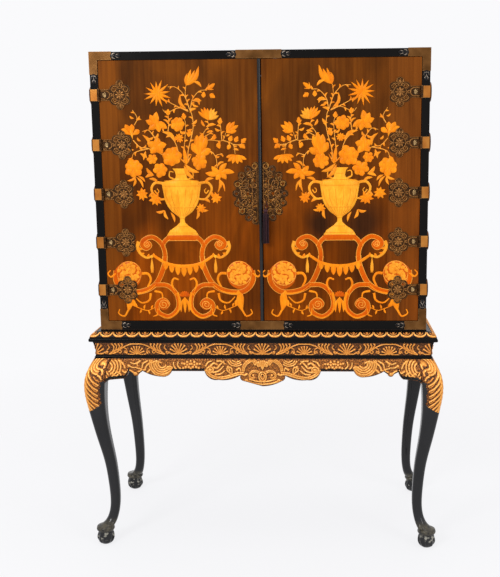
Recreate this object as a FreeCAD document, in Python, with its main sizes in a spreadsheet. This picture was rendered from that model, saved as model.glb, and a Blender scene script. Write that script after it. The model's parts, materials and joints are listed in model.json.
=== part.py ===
import FreeCAD, Part
import math
import os
import re
import Sketcher

# Driving dimensions of the cabinet, in millimetres
DIMS = {
    # case
    "case_width": 1075, "case_depth": 440, "case_height": 897,
    "side_board": 25, "top_board": 25, "bottom_board": 28, "back_board": 12,
    # fittings inside the case
    "shelf_board": 18, "shelf_height": 340, "shelf_setback": 60,
    "mirror_thickness": 5, "glass_thickness": 8, "glass_rise": 230, "glass_setback": 95,
    "glass_clearance": 2, "peg_radius": 4, "peg_length": 14, "peg_inset": 50,
    # doors
    "door_thickness": 20, "door_gap": 2, "meeting_gap": 2.5,
    "bead_width": 10.5, "bead_rise": 4.5,
    # stand frame
    "stand_height": 753, "stand_margin": 19, "seat_board": 23, "seat_margin": 2,
    "lip_board": 13, "lip_projection": 17, "lip_round": 5,
    "gadroon_height": 19, "gadroon_inset": 3, "gadroon_step": 3, "gadroon_flat": 5, "gadroon_radius": 38,
    "frieze_height": 49.5, "frieze_thickness": 24, "frieze_flare": 7, "frieze_radius": 90,
    "astragal_height": 8.5, "astragal_rise": 2.5, "mitre_reach": 150,
    # aprons, as drops below the top edge and distances from the middle or the frame corner
    "apron_thickness": 20, "apron_setback": 1, "apron_band": 44.5,
    "crest_drop": 96, "lobe_half": 64, "lobe_drop": 78, "lobe_radius": 130,
    "neck_half": 74, "neck_drop": 59, "neck_radius": 14,
    "scroll_half": 148, "scroll_drop": 74.5, "scroll_radius": 110, "scroll_end": 193, "scroll_turn": 38,
    "leaf_in": 254, "leaf_low": 218, "leaf_out": 156, "leaf_drop": 64, "leaf_turn": 32, "leaf_radius": 130,
    "volute_in": 133, "volute_half": 10, "volute_drop": 54, "arch_in": 108, "arch_drop": 46,
    "bracket_in": 92, "bracket_drop": 70, "bracket_flat": 48, "bracket_turn": 34,
    "bracket_end": 26, "bracket_low": 92,
    "side_crest_half": 66, "side_crest_drop": 70, "side_crest_radius": 75,
    # knee ears that swell from the aprons to the legs
    "swell_tail": 118, "swell_root": 22, "swell_seat": 8, "swell_top": 5,
    "swell_knee_drop": 46, "swell_knee": 30, "swell_low_drop": 94, "swell_low": 34, "swell_slack": 1.3,
    # cabriole legs: height of each station, reach beyond the frieze face, width and corner radius
    "foot_inset": 5.5, "post_width": 48,
    "top_out": 5, "top_width": 61, "top_round": 8,
    "ear_z": 610, "ear_out": 30, "ear_width": 66, "ear_round": 11,
    "knee_z": 562, "knee_out": 37, "knee_width": 69, "knee_round": 13,
    "calf_z": 490, "calf_out": 28.5, "calf_width": 58, "calf_round": 14,
    "shin_z": 379, "shin_out": 8.5, "shin_width": 45, "shin_round": 13.5,
    "taper_z": 287, "taper_out": -9, "taper_width": 38.5, "taper_round": 13,
    "slim_z": 216, "slim_out": -16.5, "slim_width": 36, "slim_round": 13.5,
    "ankle_z": 160, "ankle_out": -19.5, "ankle_width": 34.5, "ankle_round": 14.5,
    "instep_z": 112, "instep_out": -17, "instep_width": 33.5, "instep_round": 15,
    "heel_z": 82, "heel_out": -7, "heel_width": 37, "heel_round": 17.5,
    "toe_z": 62, "toe_out": 26, "toe_width": 58, "toe_round": 27,
    "pad_radius": 31, "pad_low": 46, "pad_edge": 55, "foot_waist": 24,
    "ball_radius": 30, "ball_height": 23, "sole_radius": 14,
    # hinges
    "hinge_end": 133.5, "hinge_offset": 4.8, "barrel_radius": 4.5, "pin_radius": 2.2, "pin_clearance": 0.05,
    "knuckle_gap": 0.3, "cap_radius": 3.4, "cap_height": 2,
    "leaf_thickness": 1.6, "leaf_height": 36, "leaf_setback": 5, "strap_length": 33,
    "side_plate": 4, "side_disc": 31,
    "rosette_half": 30, "rosette_core": 22, "rosette_lobe": 14.5, "rosette_lobe_x": 18, "rosette_lobe_z": 17,
    "rosette_tip": 12.5, "rosette_tip_z": 34, "rosette_eye": 7.5, "rosette_tip_eye": 6.5,
    # corner and rail mounts
    "mount_thickness": 1.2, "mount_arm": 70, "mount_return": 32, "rail_half": 72,
    "finial_disc": 10, "finial_step": 8, "finial_tip": 6.5, "finial_reach": 23.5, "finial_eye": 4,
    # lock plates, as a scalloped oval about the middle of the meeting edge
    "lock_reach": 79, "lock_rise": 91, "lock_lobe": 11.5, "lock_eye": 4.5,
    "lock_inner_eye": 5.5, "lock_plate_gap": 0.5,
    # key, lock and keep
    "key_inset": 9.75, "key_drop": 27, "key_radius": 3, "key_bore": 3.6, "key_reach": 30,
    "bow_radius": 9, "bow_wire": 2.4, "bit_reach": 8.4, "bit_thickness": 2.4, "bit_width": 5,
    "bit_play": 0.6, "lock_setback": 0.5, "lock_length": 64, "lock_depth": 18,
    "lock_below": 18, "lock_above": 30, "lock_wall": 1.6,
    "bolt_tail": 45, "bolt_face": 5, "bolt_thickness": 7, "bolt_low": 9, "bolt_height": 14, "bolt_play": 0.3,
    "talon_push": 2.2, "talon_return": 11.4, "talon_width": 3.5, "talon_low": 3.8,
    "keep_setback": 0.5, "keep_length": 26, "keep_slot": 12, "keep_rim": 4, "keep_play": 0.8,
    # tassel on the key
    "tassel_standoff": 18, "loop_radius": 4.7, "loop_wire": 1.1, "loop_play": 0.3,
    "tassel_cord": 1.6, "head_radius": 7.5, "head_drop": 29, "skirt_top": 11, "skirt_radius": 11.5,
    "skirt_drop": 33, "skirt_length": 101,
    # flush bolts on the inside of the left door
    "rod_inset": 32, "rod_standoff": 8, "rod_radius": 4, "rod_clearance": 0.05, "rod_length": 150,
    "rod_setback": 1, "rod_socket": 4.6, "rod_throw": 12, "socket_spare": 3,
    "guide_width": 22, "guide_depth": 14, "guide_height": 14, "guide_near": 20, "guide_far": 122,
    "knob_radius": 4, "knob_length": 12,
}
HINGES = 5
SIDES = {"left": -1, "right": 1}
# Radius of an arc that is nearly a half circle, for each unit of half its chord
FULL_ARC = 1.02

doc = FreeCAD.newDocument("cocktail_cabinet")
sheet = doc.addObject("Spreadsheet::Sheet", "dims")
for row, (alias, number) in enumerate(DIMS.items(), start=1):
    sheet.set(f"A{row}", alias)
    sheet.set(f"B{row}", str(number))
    sheet.setAlias(f"B{row}", alias)
doc.recompute()

WORD = re.compile(r"[a-z][a-z_]*[a-z]")
X_AXIS = FreeCAD.Vector(1, 0, 0)
Y_AXIS = FreeCAD.Vector(0, 1, 0)
Z_AXIS = FreeCAD.Vector(0, 0, 1)
ALONG = {"x": FreeCAD.Rotation(Y_AXIS, 90), "y": FreeCAD.Rotation(X_AXIS, -90), "z": FreeCAD.Rotation()}
pieces = []


def bind(text):
    """Write a size in plain words as an expression on the sheet."""
    return WORD.sub(lambda word: "dims." + word.group(0) if word.group(0) in DIMS else word.group(0), text)


def value(text):
    """Work a size out as a number."""
    return float(sheet.evalExpression(bind(text)))


def span(side, low, high):
    """A stretch along X on one side of the middle plane."""
    if side > 0:
        return low, high
    return f"-({high})", f"-({low})"


def drive(item, **sizes):
    for name, text in sizes.items():
        item.setExpression(name, bind(text))
    return item


def put(item, x="0", y="0", z="0", rotation=FreeCAD.Rotation()):
    """Place an object at sizes taken from the sheet."""
    item.Placement = FreeCAD.Placement(FreeCAD.Vector(value(x), value(y), value(z)), rotation)
    for name, text in zip("xyz", (x, y, z)):
        item.setExpression(f".Placement.Base.{name}", bind(text))
    return item


def piece(label, item):
    """Name a finished sub-part."""
    item.Label = label
    pieces.append(item)
    return item


def box(xs, ys, zs):
    item = doc.addObject("Part::Box", "box")
    lengths = [f"({high}) - ({low})" for low, high in (xs, ys, zs)]
    drive(item, Length=lengths[0], Width=lengths[1], Height=lengths[2])
    return put(item, xs[0], ys[0], zs[0])


def rod(radius, length, x, y, z, along):
    item = doc.addObject("Part::Cylinder", "rod")
    drive(item, Radius=radius, Height=length)
    return put(item, x, y, z, ALONG[along])


def ring(radius, wire, x, y, z, along):
    item = doc.addObject("Part::Torus", "ring")
    drive(item, Radius1=radius, Radius2=wire)
    return put(item, x, y, z, ALONG[along])


def fuse(items):
    item = doc.addObject("Part::MultiFuse", "fuse")
    item.Shapes = items
    item.Refine = True
    return item


def cut(base, tools):
    item = doc.addObject("Part::Cut", "cut")
    item.Base = base
    item.Tool = tools[0] if len(tools) == 1 else fuse(tools)
    item.Refine = True
    return item


def common(items):
    item = doc.addObject("Part::MultiCommon", "common")
    item.Shapes = items
    item.Refine = True
    return item


def group(items):
    item = doc.addObject("Part::Compound", "group")
    item.Links = items
    return item


def arc_between(start, end, radius, turn):
    """The shorter arc from start to end, turning left (1) or right (-1)."""
    chord = end - start
    rise = math.sqrt(max(radius ** 2 - (chord.Length / 2) ** 2, 0))
    left = FreeCAD.Vector(-chord.y, chord.x, 0).normalize()
    centre = (start + end) * 0.5 + left * (rise * turn)
    first, last = (start, end) if turn > 0 else (end, start)
    angles = [math.atan2(point.y - centre.y, point.x - centre.x) for point in (first, last)]
    return Part.ArcOfCircle(Part.Circle(centre, Z_AXIS, radius), *angles)


def draw(sketch, points):
    """Draw a closed outline: (x, y) ends a line, (x, y, radius, turn) ends an arc."""
    spots = [FreeCAD.Vector(value(point[0]), value(point[1]), 0) for point in points]
    ends = []
    for index, point in enumerate(points):
        start, end = spots[index - 1], spots[index]
        if len(point) == 2:
            edge = sketch.addGeometry(Part.LineSegment(start, end))
            ends.append((edge, 1, 2))
        else:
            radius, turn = point[2:]
            edge = sketch.addGeometry(arc_between(start, end, value(radius), turn))
            ends.append((edge, 1, 2) if turn > 0 else (edge, 2, 1))
    for index, point in enumerate(points):
        edge, _, tail = ends[index]
        follower, head, _ = ends[(index + 1) % len(points)]
        sketch.addConstraint(Sketcher.Constraint("Coincident", edge, tail, follower, head))
        for kind, text in (("DistanceX", point[0]), ("DistanceY", point[1])):
            hold = sketch.addConstraint(Sketcher.Constraint(kind, -1, 1, edge, tail, value(text)))
            sketch.setExpression(f"Constraints[{hold}]", bind(text))
        if len(point) > 2:
            hold = sketch.addConstraint(Sketcher.Constraint("Radius", edge, value(point[2])))
            sketch.setExpression(f"Constraints[{hold}]", bind(point[2]))
    return sketch


def sketch_on(body, plane, offset="0"):
    """A sketch on one of the body's own origin planes, moved along its normal."""
    sketch = body.newObject("Sketcher::SketchObject", "outline")
    support = next(item for item in body.Origin.OriginFeatures if item.Role == plane)
    sketch.AttachmentSupport = [(support, "")]
    sketch.MapMode = "FlatFace"
    sketch.AttachmentOffset = FreeCAD.Placement(FreeCAD.Vector(0, 0, value(offset)), FreeCAD.Rotation())
    sketch.setExpression(".AttachmentOffset.Base.z", bind(offset))
    return sketch


def padded(body, plane, points, length, offset="0"):
    """Draw an outline in a body and pad it along the plane's normal."""
    sketch = draw(sketch_on(body, plane, offset), points)
    pad = body.newObject("PartDesign::Pad", "pad")
    pad.Profile = sketch
    drive(pad, Length=length)
    return body


def new_body():
    return doc.addObject("PartDesign::Body", "body")


# Reference lines that several pieces share
HALF = "case_width / 2"
INNER = "(case_width / 2 - side_board)"
FRONT = "(-case_depth / 2)"
BACK = "(case_depth / 2)"
CASE_LOW = "stand_height"
CASE_HIGH = "(stand_height + case_height)"
OPEN_LOW = "(stand_height + bottom_board)"
OPEN_HIGH = "(stand_height + case_height - top_board)"
DOOR_LOW = "(stand_height + bottom_board + door_gap)"
DOOR_HIGH = "(stand_height + case_height - top_board - door_gap)"
DOOR_BACK = "(door_thickness - case_depth / 2)"
LEFT_EDGE = "(bead_width / 2)"
RIGHT_EDGE = "(bead_width / 2 + meeting_gap)"
FRAME_X = "(case_width / 2 + stand_margin)"
FRAME_Y = "(case_depth / 2 + stand_margin)"
SEAT_LOW = "(stand_height - seat_board)"
LIP_LOW = "(stand_height - seat_board - lip_board)"
FRIEZE_LOW = "(stand_height - seat_board - lip_board - frieze_height)"
FRAME_LOW = "(stand_height - seat_board - lip_board - frieze_height - astragal_height)"
AXIS_X = "(case_width / 2 - side_board - door_gap / 2)"
AXIS_Y = "(-case_depth / 2 - hinge_offset)"
LOCK_Z = "(stand_height + case_height / 2)"
KEY_X = "(bead_width / 2 + meeting_gap + key_inset)"
KEY_Z = "(stand_height + case_height / 2 - key_drop)"
ROD_X = "(bead_width / 2 - rod_inset)"
ROD_Y = "(door_thickness - case_depth / 2 + rod_standoff)"


# Case: boards, mirror, shelves
def make_case():
    xs, ys = (f"-{INNER}", INNER), (FRONT, BACK)
    socket = "rod_throw + socket_spare"
    top = box(xs, ys, (OPEN_HIGH, CASE_HIGH))
    piece("case_top", cut(top, [rod("rod_socket", socket, ROD_X, ROD_Y, OPEN_HIGH, "z")]))
    bottom = box(xs, ys, (CASE_LOW, OPEN_LOW))
    low_socket = rod("rod_socket", socket, ROD_X, ROD_Y, f"{OPEN_LOW} - ({socket})", "z")
    piece("case_bottom", cut(bottom, [low_socket]))
    for name, side in SIDES.items():
        piece(f"case_side_{name}", box(span(side, INNER, HALF), ys, (CASE_LOW, CASE_HIGH)))
    panel_y = f"({BACK} - back_board)"
    piece("case_back", box(xs, (panel_y, BACK), (OPEN_LOW, OPEN_HIGH)))
    shelf_low = f"({OPEN_LOW} + shelf_height)"
    shelf_top = f"({shelf_low} + shelf_board)"
    piece("fixed_shelf", box(xs, (f"{FRONT} + shelf_setback", panel_y), (shelf_low, shelf_top)))
    mirror_y = f"({panel_y} - mirror_thickness)"
    piece("mirror_panel", box(xs, (mirror_y, panel_y), (shelf_top, OPEN_HIGH)))
    glass_low = f"({shelf_top} + glass_rise)"
    glass_x = f"({INNER} - glass_clearance)"
    glass_y = (f"{FRONT} + glass_setback", f"{mirror_y} - glass_clearance")
    glass_z = (glass_low, f"{glass_low} + glass_thickness")
    piece("glass_shelf", box((f"-{glass_x}", glass_x), glass_y, glass_z))
    pegs = []
    for x in (f"-{INNER}", f"({INNER} - peg_length)"):
        for y in (f"({glass_y[0]} + peg_inset)", f"({glass_y[1]} - peg_inset)"):
            pegs.append(rod("peg_radius", "peg_length", x, y, f"{glass_low} - peg_radius", "x"))
    piece("shelf_pegs", group(pegs))


# Stand mouldings: each outline gives (reach beyond the frieze face, height)
def moulding_strip(outline, where):
    """A strip that follows the front or one side of the frame, mitred at the front corners."""
    outmost = "lip_projection"
    body = new_body()
    if where == "front":
        points = [(f"-({FRAME_Y} + ({d}))", z, *rest) for d, z, *rest in mirror_turns(outline)]
        padded(body, "YZ_Plane", points, f"2 * ({FRAME_X} + {outmost})", f"-({FRAME_X} + {outmost})")
        corners = [(FRAME_X, 45), (f"-{FRAME_X}", 135)]
    elif where == "left":
        points = [(f"-({FRAME_X} + ({d}))", z, *rest) for d, z, *rest in mirror_turns(outline)]
        padded(body, "XZ_Plane", points, f"2 * {FRAME_Y} + {outmost}", f"-{FRAME_Y}")
        corners = [(f"-{FRAME_X}", -45)]
    else:
        points = [(f"{FRAME_X} + ({d})", z, *rest) for d, z, *rest in outline]
        padded(body, "XZ_Plane", points, f"2 * {FRAME_Y} + {outmost}", f"-{FRAME_Y}")
        corners = [(FRAME_X, -135)]
    return cut(body, [mitre_block(x, angle) for x, angle in corners])


def mirror_turns(outline):
    """The same outline for a sketch that looks at it from the other side."""
    return [(d, z) if not rest else (d, z, rest[0], -rest[1]) for d, z, *rest in outline]


def mitre_block(x, angle):
    """A block with one face on the vertical mitre plane through a front corner of the frame."""
    item = doc.addObject("Part::Box", "mitre")
    drive(item, Length="2 * mitre_reach", Width="4 * mitre_reach", Height="stand_height")
    turn = FreeCAD.Rotation(Z_AXIS, angle)
    shift = turn.multVec(Y_AXIS)
    return put(item, f"{x} - 2 * mitre_reach * ({shift.x:.9f})",
               f"-{FRAME_Y} - 2 * mitre_reach * ({shift.y:.9f})", "0", turn)


def make_stand_top():
    lip_x, lip_y = f"({FRAME_X} + lip_projection)", f"({FRAME_Y} + lip_projection)"
    board = box((f"-{lip_x}", lip_x), (f"-{lip_y}", FRAME_Y), (LIP_LOW, SEAT_LOW))
    doc.recompute()
    lip = doc.addObject("Part::Fillet", "lip")
    lip.Base = board
    rounding = value("lip_round")
    lip.Edges = [(index, rounding, rounding) for index in shown_edges(board.Shape)]
    piece("lip_board", lip)
    seat_x, seat_y = f"({HALF} + seat_margin)", f"({FRONT} - seat_margin)"
    piece("seat_board", box((f"-{seat_x}", seat_x), (seat_y, BACK), (SEAT_LOW, CASE_LOW)))
    toe, heel = "lip_projection - gadroon_inset", "seat_margin - stand_margin"
    rise = f"({SEAT_LOW} + gadroon_height)"
    ovolo = [(heel, SEAT_LOW), (toe, SEAT_LOW), (toe, f"{SEAT_LOW} + gadroon_step"),
             (f"{heel} + gadroon_flat", rise, "gadroon_radius", 1), (heel, rise)]
    piece("gadroon_moulding", group([moulding_strip(ovolo, where) for where in ("front", "left", "right")]))


def shown_edges(shape):
    """Numbers of the level edges along the front and the two sides of a board."""
    back = shape.BoundBox.YMax
    numbers = []
    for number, edge in enumerate(shape.Edges, start=1):
        level = abs(edge.tangentAt(edge.FirstParameter).z) < 0.5
        at_back = all(abs(vertex.Y - back) < 0.01 for vertex in edge.Vertexes)
        if level and not at_back:
            numbers.append(number)
    return numbers


def make_frieze():
    inner = "-frieze_thickness"
    cove = [(inner, FRIEZE_LOW), ("0", FRIEZE_LOW),
            ("frieze_flare", LIP_LOW, "frieze_radius", -1), (inner, LIP_LOW)]
    for where in ("front", "left", "right"):
        piece(f"frieze_{where}", moulding_strip(cove, where))
    inside = f"({FRAME_X} - frieze_thickness)"
    back_y = (f"{FRAME_Y} - frieze_thickness", FRAME_Y)
    piece("frieze_back", box((f"-{inside}", inside), back_y, (FRAME_LOW, LIP_LOW)))
    nose = "(astragal_height ^ 2 / 4 + astragal_rise ^ 2) / (2 * astragal_rise)"
    astragal = [(inner, FRAME_LOW), ("0", FRAME_LOW), ("0", FRIEZE_LOW, nose, 1), (inner, FRIEZE_LOW)]
    piece("frieze_astragal", group([moulding_strip(astragal, where) for where in ("front", "left", "right")]))


# Aprons: shaped boards under the frieze that swell out at the knees, scribed to the legs
def bracket(corner):
    """Volute, arch and knee bracket at one end, measured back from a frame corner."""
    low = FRAME_LOW
    return [(f"{corner} - volute_in - volute_half", f"{low} - volute_drop"),
            (f"{corner} - volute_in + volute_half", f"{low} - volute_drop", f"volute_half * {FULL_ARC}", 1),
            (f"{corner} - arch_in", f"{low} - arch_drop"),
            (f"{corner} - bracket_in", f"{low} - bracket_drop", "bracket_turn", 1),
            (f"{corner} - bracket_flat", f"{low} - bracket_drop"),
            (f"{corner} - bracket_end", f"{low} - bracket_low", "bracket_turn", -1)]


def both_halves(half):
    """Mirror an outline that runs from the middle to one end, and close it along the top."""
    end = half[-1][0]
    outline = half + [(end, FRAME_LOW), (f"-({end})", FRAME_LOW)]
    outline.append((f"-({end})", half[-1][1]))
    for index in range(len(half) - 1, 0, -1):
        x, z = half[index - 1][:2]
        outline.append((f"-({x})", z, *half[index][2:]))
    return outline[:-1] if half[0][0] == "0" else outline


def front_apron():
    low = FRAME_LOW
    half = [("0", f"{low} - crest_drop"),
            ("lobe_half", f"{low} - lobe_drop", "lobe_radius", 1),
            ("neck_half", f"{low} - neck_drop", "neck_radius", 1),
            ("scroll_half", f"{low} - scroll_drop", "scroll_radius", 1),
            ("scroll_end", f"{low} - apron_band", "scroll_turn", 1),
            (f"{FRAME_X} - leaf_in", f"{low} - apron_band"),
            (f"{FRAME_X} - leaf_low", f"{low} - leaf_drop", "leaf_turn", 1),
            (f"{FRAME_X} - leaf_out", f"{low} - apron_band", "leaf_radius", 1)]
    return both_halves(half + bracket(FRAME_X))


def side_apron():
    low = FRAME_LOW
    half = [("0", f"{low} - side_crest_drop"),
            ("side_crest_half", f"{low} - apron_band", "side_crest_radius", 1)]
    return both_halves(half + bracket(FRAME_Y))


SWELLS = (("0", "swell_top"), ("swell_knee_drop", "swell_knee"), ("swell_low_drop", "swell_low"))


def knee_ear(place, turn, stock):
    """An ear that coves out from an apron's face to its leg, trimmed to the apron's outline."""
    body = new_body()
    sections = []
    for drop, out in SWELLS:
        cove = f"swell_slack * ((swell_tail - swell_root) ^ 2 + {out} ^ 2) / (2 * {out})"
        plan = [place("swell_tail", "-swell_seat"), place("swell_root", "-swell_seat"), place("swell_root", out),
                (*place("swell_tail", "0"), cove, turn)]
        sections.append(draw(sketch_on(body, "XY_Plane", f"{FRAME_LOW} - {drop}"), plan))
    loft = body.newObject("PartDesign::AdditiveLoft", "ear")
    loft.Profile = sections[0]
    loft.Sections = sections[1:]
    return common([body, stock])


def make_front_apron(legs):
    def place(end):
        return lambda along, out: (f"{end} * ({FRAME_X} - {along})", f"-({FRAME_Y} - apron_setback + {out})")
    inmost = f"{FRAME_Y} - apron_setback - apron_thickness"
    board = padded(new_body(), "XZ_Plane", front_apron(), "apron_thickness", inmost)
    stock = padded(new_body(), "XZ_Plane", front_apron(), "apron_thickness + swell_low", inmost)
    ears = [knee_ear(place(end), end, stock) for end in SIDES.values()]
    piece("apron_front", cut(fuse([board] + ears), [legs["front_left"], legs["front_right"]]))


def make_side_apron(name, side, legs):
    def place(end):
        return lambda along, out: (f"{side} * ({FRAME_X} - apron_setback + {out})",
                                   f"{end} * ({FRAME_Y} - {along})")
    face = f"{FRAME_X} - apron_setback"
    near = f"{face} - apron_thickness" if side > 0 else f"-({face})"
    board = padded(new_body(), "YZ_Plane", side_apron(), "apron_thickness", near)
    low = f"{face} - apron_thickness" if side > 0 else f"-({face} + swell_low)"
    stock = padded(new_body(), "YZ_Plane", side_apron(), "apron_thickness + swell_low", low)
    ears = [knee_ear(place(end), side * end, stock) for end in SIDES.values()]
    piece(f"apron_{name}", cut(fuse([board] + ears), [legs[f"front_{name}"], legs[f"back_{name}"]]))


def make_aprons(legs):
    make_front_apron(legs)
    for name, side in SIDES.items():
        make_side_apron(name, side, legs)


# Cabriole legs: one form about the foot's own axis, turned to each corner
STATIONS = ("toe", "heel", "instep", "ankle", "slim", "taper", "shin", "calf", "knee", "ear", "top")


def rounded_square(outer, width, corner):
    """A square with round corners, its sides along X and Y, centred on the leg's diagonal."""
    far, near = f"({outer})", f"({outer} - {width})"
    return [(f"{far} - {corner}", near), (far, f"{near} + {corner}", corner, 1),
            (far, f"{far} - {corner}"), (f"{far} - {corner}", far, corner, 1),
            (f"{near} + {corner}", far), (near, f"{far} - {corner}", corner, 1),
            (near, f"{near} + {corner}"), (f"{near} + {corner}", near, corner, 1)]


def make_leg(label, x_side, y_side, quarter):
    body = new_body()
    foot = draw(sketch_on(body, "XZ_Plane"), foot_profile())
    turned = body.newObject("PartDesign::Revolution", "foot")
    turned.Profile = foot
    turned.ReferenceAxis = (foot, ["V_Axis"])
    turned.Angle = 360
    sections = []
    for name in STATIONS:
        height = FRAME_LOW if name == "top" else f"{name}_z"
        outline = rounded_square(f"foot_inset + {name}_out", f"{name}_width", f"{name}_round")
        sections.append(draw(sketch_on(body, "XY_Plane", height), outline))
    loft = body.newObject("PartDesign::AdditiveLoft", "cabriole")
    loft.Profile = sections[0]
    loft.Sections = sections[1:]
    far, near = "foot_inset - frieze_thickness", "foot_inset - frieze_thickness - post_width"
    post = [(near, near), (far, near), (far, far), (near, far)]
    padded(body, "XY_Plane", post, f"{LIP_LOW} - {FRAME_LOW}", FRAME_LOW)
    put(body, f"{x_side} * ({FRAME_X} - foot_inset)", f"{y_side} * ({FRAME_Y} - foot_inset)", "0",
        FreeCAD.Rotation(Z_AXIS, quarter))
    return piece(label, body)


def foot_profile():
    """Half outline of the ball and the pad above it."""
    ball = "((ball_radius - sole_radius) ^ 2 + ball_height ^ 2) / (2 * (ball_radius - sole_radius))"
    neck = "((ball_radius - foot_waist) ^ 2 + (pad_low - ball_height) ^ 2) / (2 * (ball_radius - foot_waist))"
    edge = "((pad_radius - foot_waist) ^ 2 + (pad_edge - pad_low) ^ 2) / (2 * (pad_radius - foot_waist))"
    return [("0", "0"), ("sole_radius", "0"), ("ball_radius", "ball_height", ball, 1),
            ("foot_waist", "pad_low", neck, 1), ("pad_radius", "pad_edge", edge, 1),
            ("toe_width / 2", "toe_z"), ("0", "toe_z")]


def make_legs():
    corners = {"front_left": (-1, -1, 180), "front_right": (1, -1, -90),
               "back_left": (-1, 1, 90), "back_right": (1, 1, 0)}
    return {name: make_leg(f"leg_{name}", *corner) for name, corner in corners.items()}


# Hinges: leaves with three knuckles on a pin that stands in front of the faces
def hinge_level(index):
    return f"(stand_height + hinge_end + {index} * (case_height - 2 * hinge_end) / {HINGES - 1})"


def knuckle_heights(level):
    """Heights of the lower, middle and upper knuckles of one hinge."""
    third = "leaf_height / 6"
    return {"lower": (f"{level} - leaf_height / 2", f"{level} - {third} - knuckle_gap"),
            "middle": (f"{level} - {third}", f"{level} + {third}"),
            "upper": (f"{level} + {third} + knuckle_gap", f"{level} + leaf_height / 2")}


def knuckles(side, level, names, reach):
    """Barrels and the tabs that join them to their leaf."""
    solids = []
    for name in names:
        low, high = knuckle_heights(level)[name]
        solids.append(rod("barrel_radius", f"({high}) - ({low})", f"{side} * {AXIS_X}", AXIS_Y, low, "z"))
        solids.append(box(span(side, *reach), (f"{FRONT} - leaf_thickness", FRONT), (low, high)))
    return solids


def pin_bore(side, level):
    return rod("pin_radius + pin_clearance", "leaf_height", f"{side} * {AXIS_X}", AXIS_Y,
               f"{level} - leaf_height / 2", "z")


def disc(radius, thickness, x, z):
    """A disc on the front faces, proud by its thickness."""
    return rod(radius, thickness, x, f"{FRONT} - {thickness}", z, "y")


def make_case_leaf(label, side, level):
    zs = (f"{level} - leaf_height / 2", f"{level} + leaf_height / 2")
    outer = f"{HALF} + side_plate"
    solids = knuckles(side, level, ["middle"], (AXIS_X, f"{AXIS_X} + leaf_setback"))
    plate_y = (f"{FRONT} - leaf_thickness", FRONT)
    solids.append(box(span(side, f"{AXIS_X} + leaf_setback", outer), plate_y, zs))
    solids.append(box(span(side, HALF, outer), (FRONT, f"{FRONT} + side_disc"), zs))
    start = span(side, HALF, outer)[0]
    solids.append(rod("side_disc", "side_plate", start, f"{FRONT} + side_disc", level, "x"))
    piece(label, cut(fuse(solids), [pin_bore(side, level)]))


def make_door_leaf(label, side, level):
    zs = (f"{level} - leaf_height / 2", f"{level} + leaf_height / 2")
    near = f"({AXIS_X} - leaf_setback)"
    far = f"({near} - strap_length)"
    middle = f"{side} * ({far} - rosette_half)"
    solids = knuckles(side, level, ["lower", "upper"], (near, AXIS_X))
    solids.append(box(span(side, f"{far} - rosette_half", near), (f"{FRONT} - leaf_thickness", FRONT), zs))
    solids.append(disc("rosette_core", "leaf_thickness", middle, level))
    eyes = [pin_bore(side, level)]
    for z_side in (-1, 1):
        tip = f"{level} + {z_side} * rosette_tip_z"
        solids.append(disc("rosette_tip", "leaf_thickness", middle, tip))
        eyes.append(disc("rosette_tip_eye", "leaf_thickness", middle, tip))
        for x_side in (-1, 1):
            spot = (f"{middle} + {x_side} * rosette_lobe_x", f"{level} + {z_side} * rosette_lobe_z")
            solids.append(disc("rosette_lobe", "leaf_thickness", *spot))
            eyes.append(disc("rosette_eye", "leaf_thickness", *spot))
    piece(label, cut(fuse(solids), eyes))


def make_hinges():
    pins = []
    for name, side in SIDES.items():
        for index in range(HINGES):
            level = hinge_level(index)
            make_case_leaf(f"case_leaf_{name}_{index + 1}", side, level)
            make_door_leaf(f"door_leaf_{name}_{index + 1}", side, level)
            x, end = f"{side} * {AXIS_X}", "(leaf_height / 2 + knuckle_gap)"
            stem = rod("pin_radius", f"2 * {end}", x, AXIS_Y, f"{level} - {end}", "z")
            low_cap = rod("cap_radius", "cap_height", x, AXIS_Y, f"{level} - {end} - cap_height", "z")
            high_cap = rod("cap_radius", "cap_height", x, AXIS_Y, f"{level} + {end}", "z")
            pins.append(fuse([stem, low_cap, high_cap]))
    piece("hinge_pins", group(pins))


# Corner and rail mounts on the front edges of the case
def finial(x, z, x_step, z_step):
    """A pierced trefoil that ends a mount, growing along one direction."""
    def at(reach):
        return f"{x} + {x_step} * {reach}", f"{z} + {z_step} * {reach}"
    solids = [disc("finial_disc", "mount_thickness", *at("finial_step")),
              disc("finial_tip", "mount_thickness", *at("finial_reach"))]
    return solids, [disc("finial_eye", "mount_thickness", *at("finial_step"))]


def make_corner_mount(side, top):
    ys = (f"{FRONT} - mount_thickness", FRONT)
    deep = (f"{FRONT} - mount_thickness", f"{FRONT} + mount_return")
    z_side = 1 if top else -1
    edge = CASE_HIGH if top else CASE_LOW
    width = "top_board" if top else "bottom_board"
    tall = (f"{edge} - mount_arm", edge) if top else (edge, f"{edge} + mount_arm")
    wide = (f"{edge} - {width}", edge) if top else (edge, f"{edge} + {width}")
    solids = [box(span(side, f"{HALF} - mount_arm", HALF), ys, wide),
              box(span(side, INNER, HALF), ys, tall),
              box(span(side, HALF, f"{HALF} + mount_thickness"), deep, tall)]
    if top:
        solids.append(box(span(side, f"{HALF} - mount_arm", f"{HALF} + mount_thickness"), deep,
                          (edge, f"{edge} + mount_thickness")))
    across = finial(f"{side} * ({HALF} - mount_arm)", f"{edge} - {z_side} * {width} / 2", -side, 0)
    along = finial(f"{side} * ({HALF} - side_board / 2)", f"{edge} - {z_side} * mount_arm", 0, -z_side)
    return cut(fuse(solids + across[0] + along[0]), across[1] + along[1])


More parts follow.
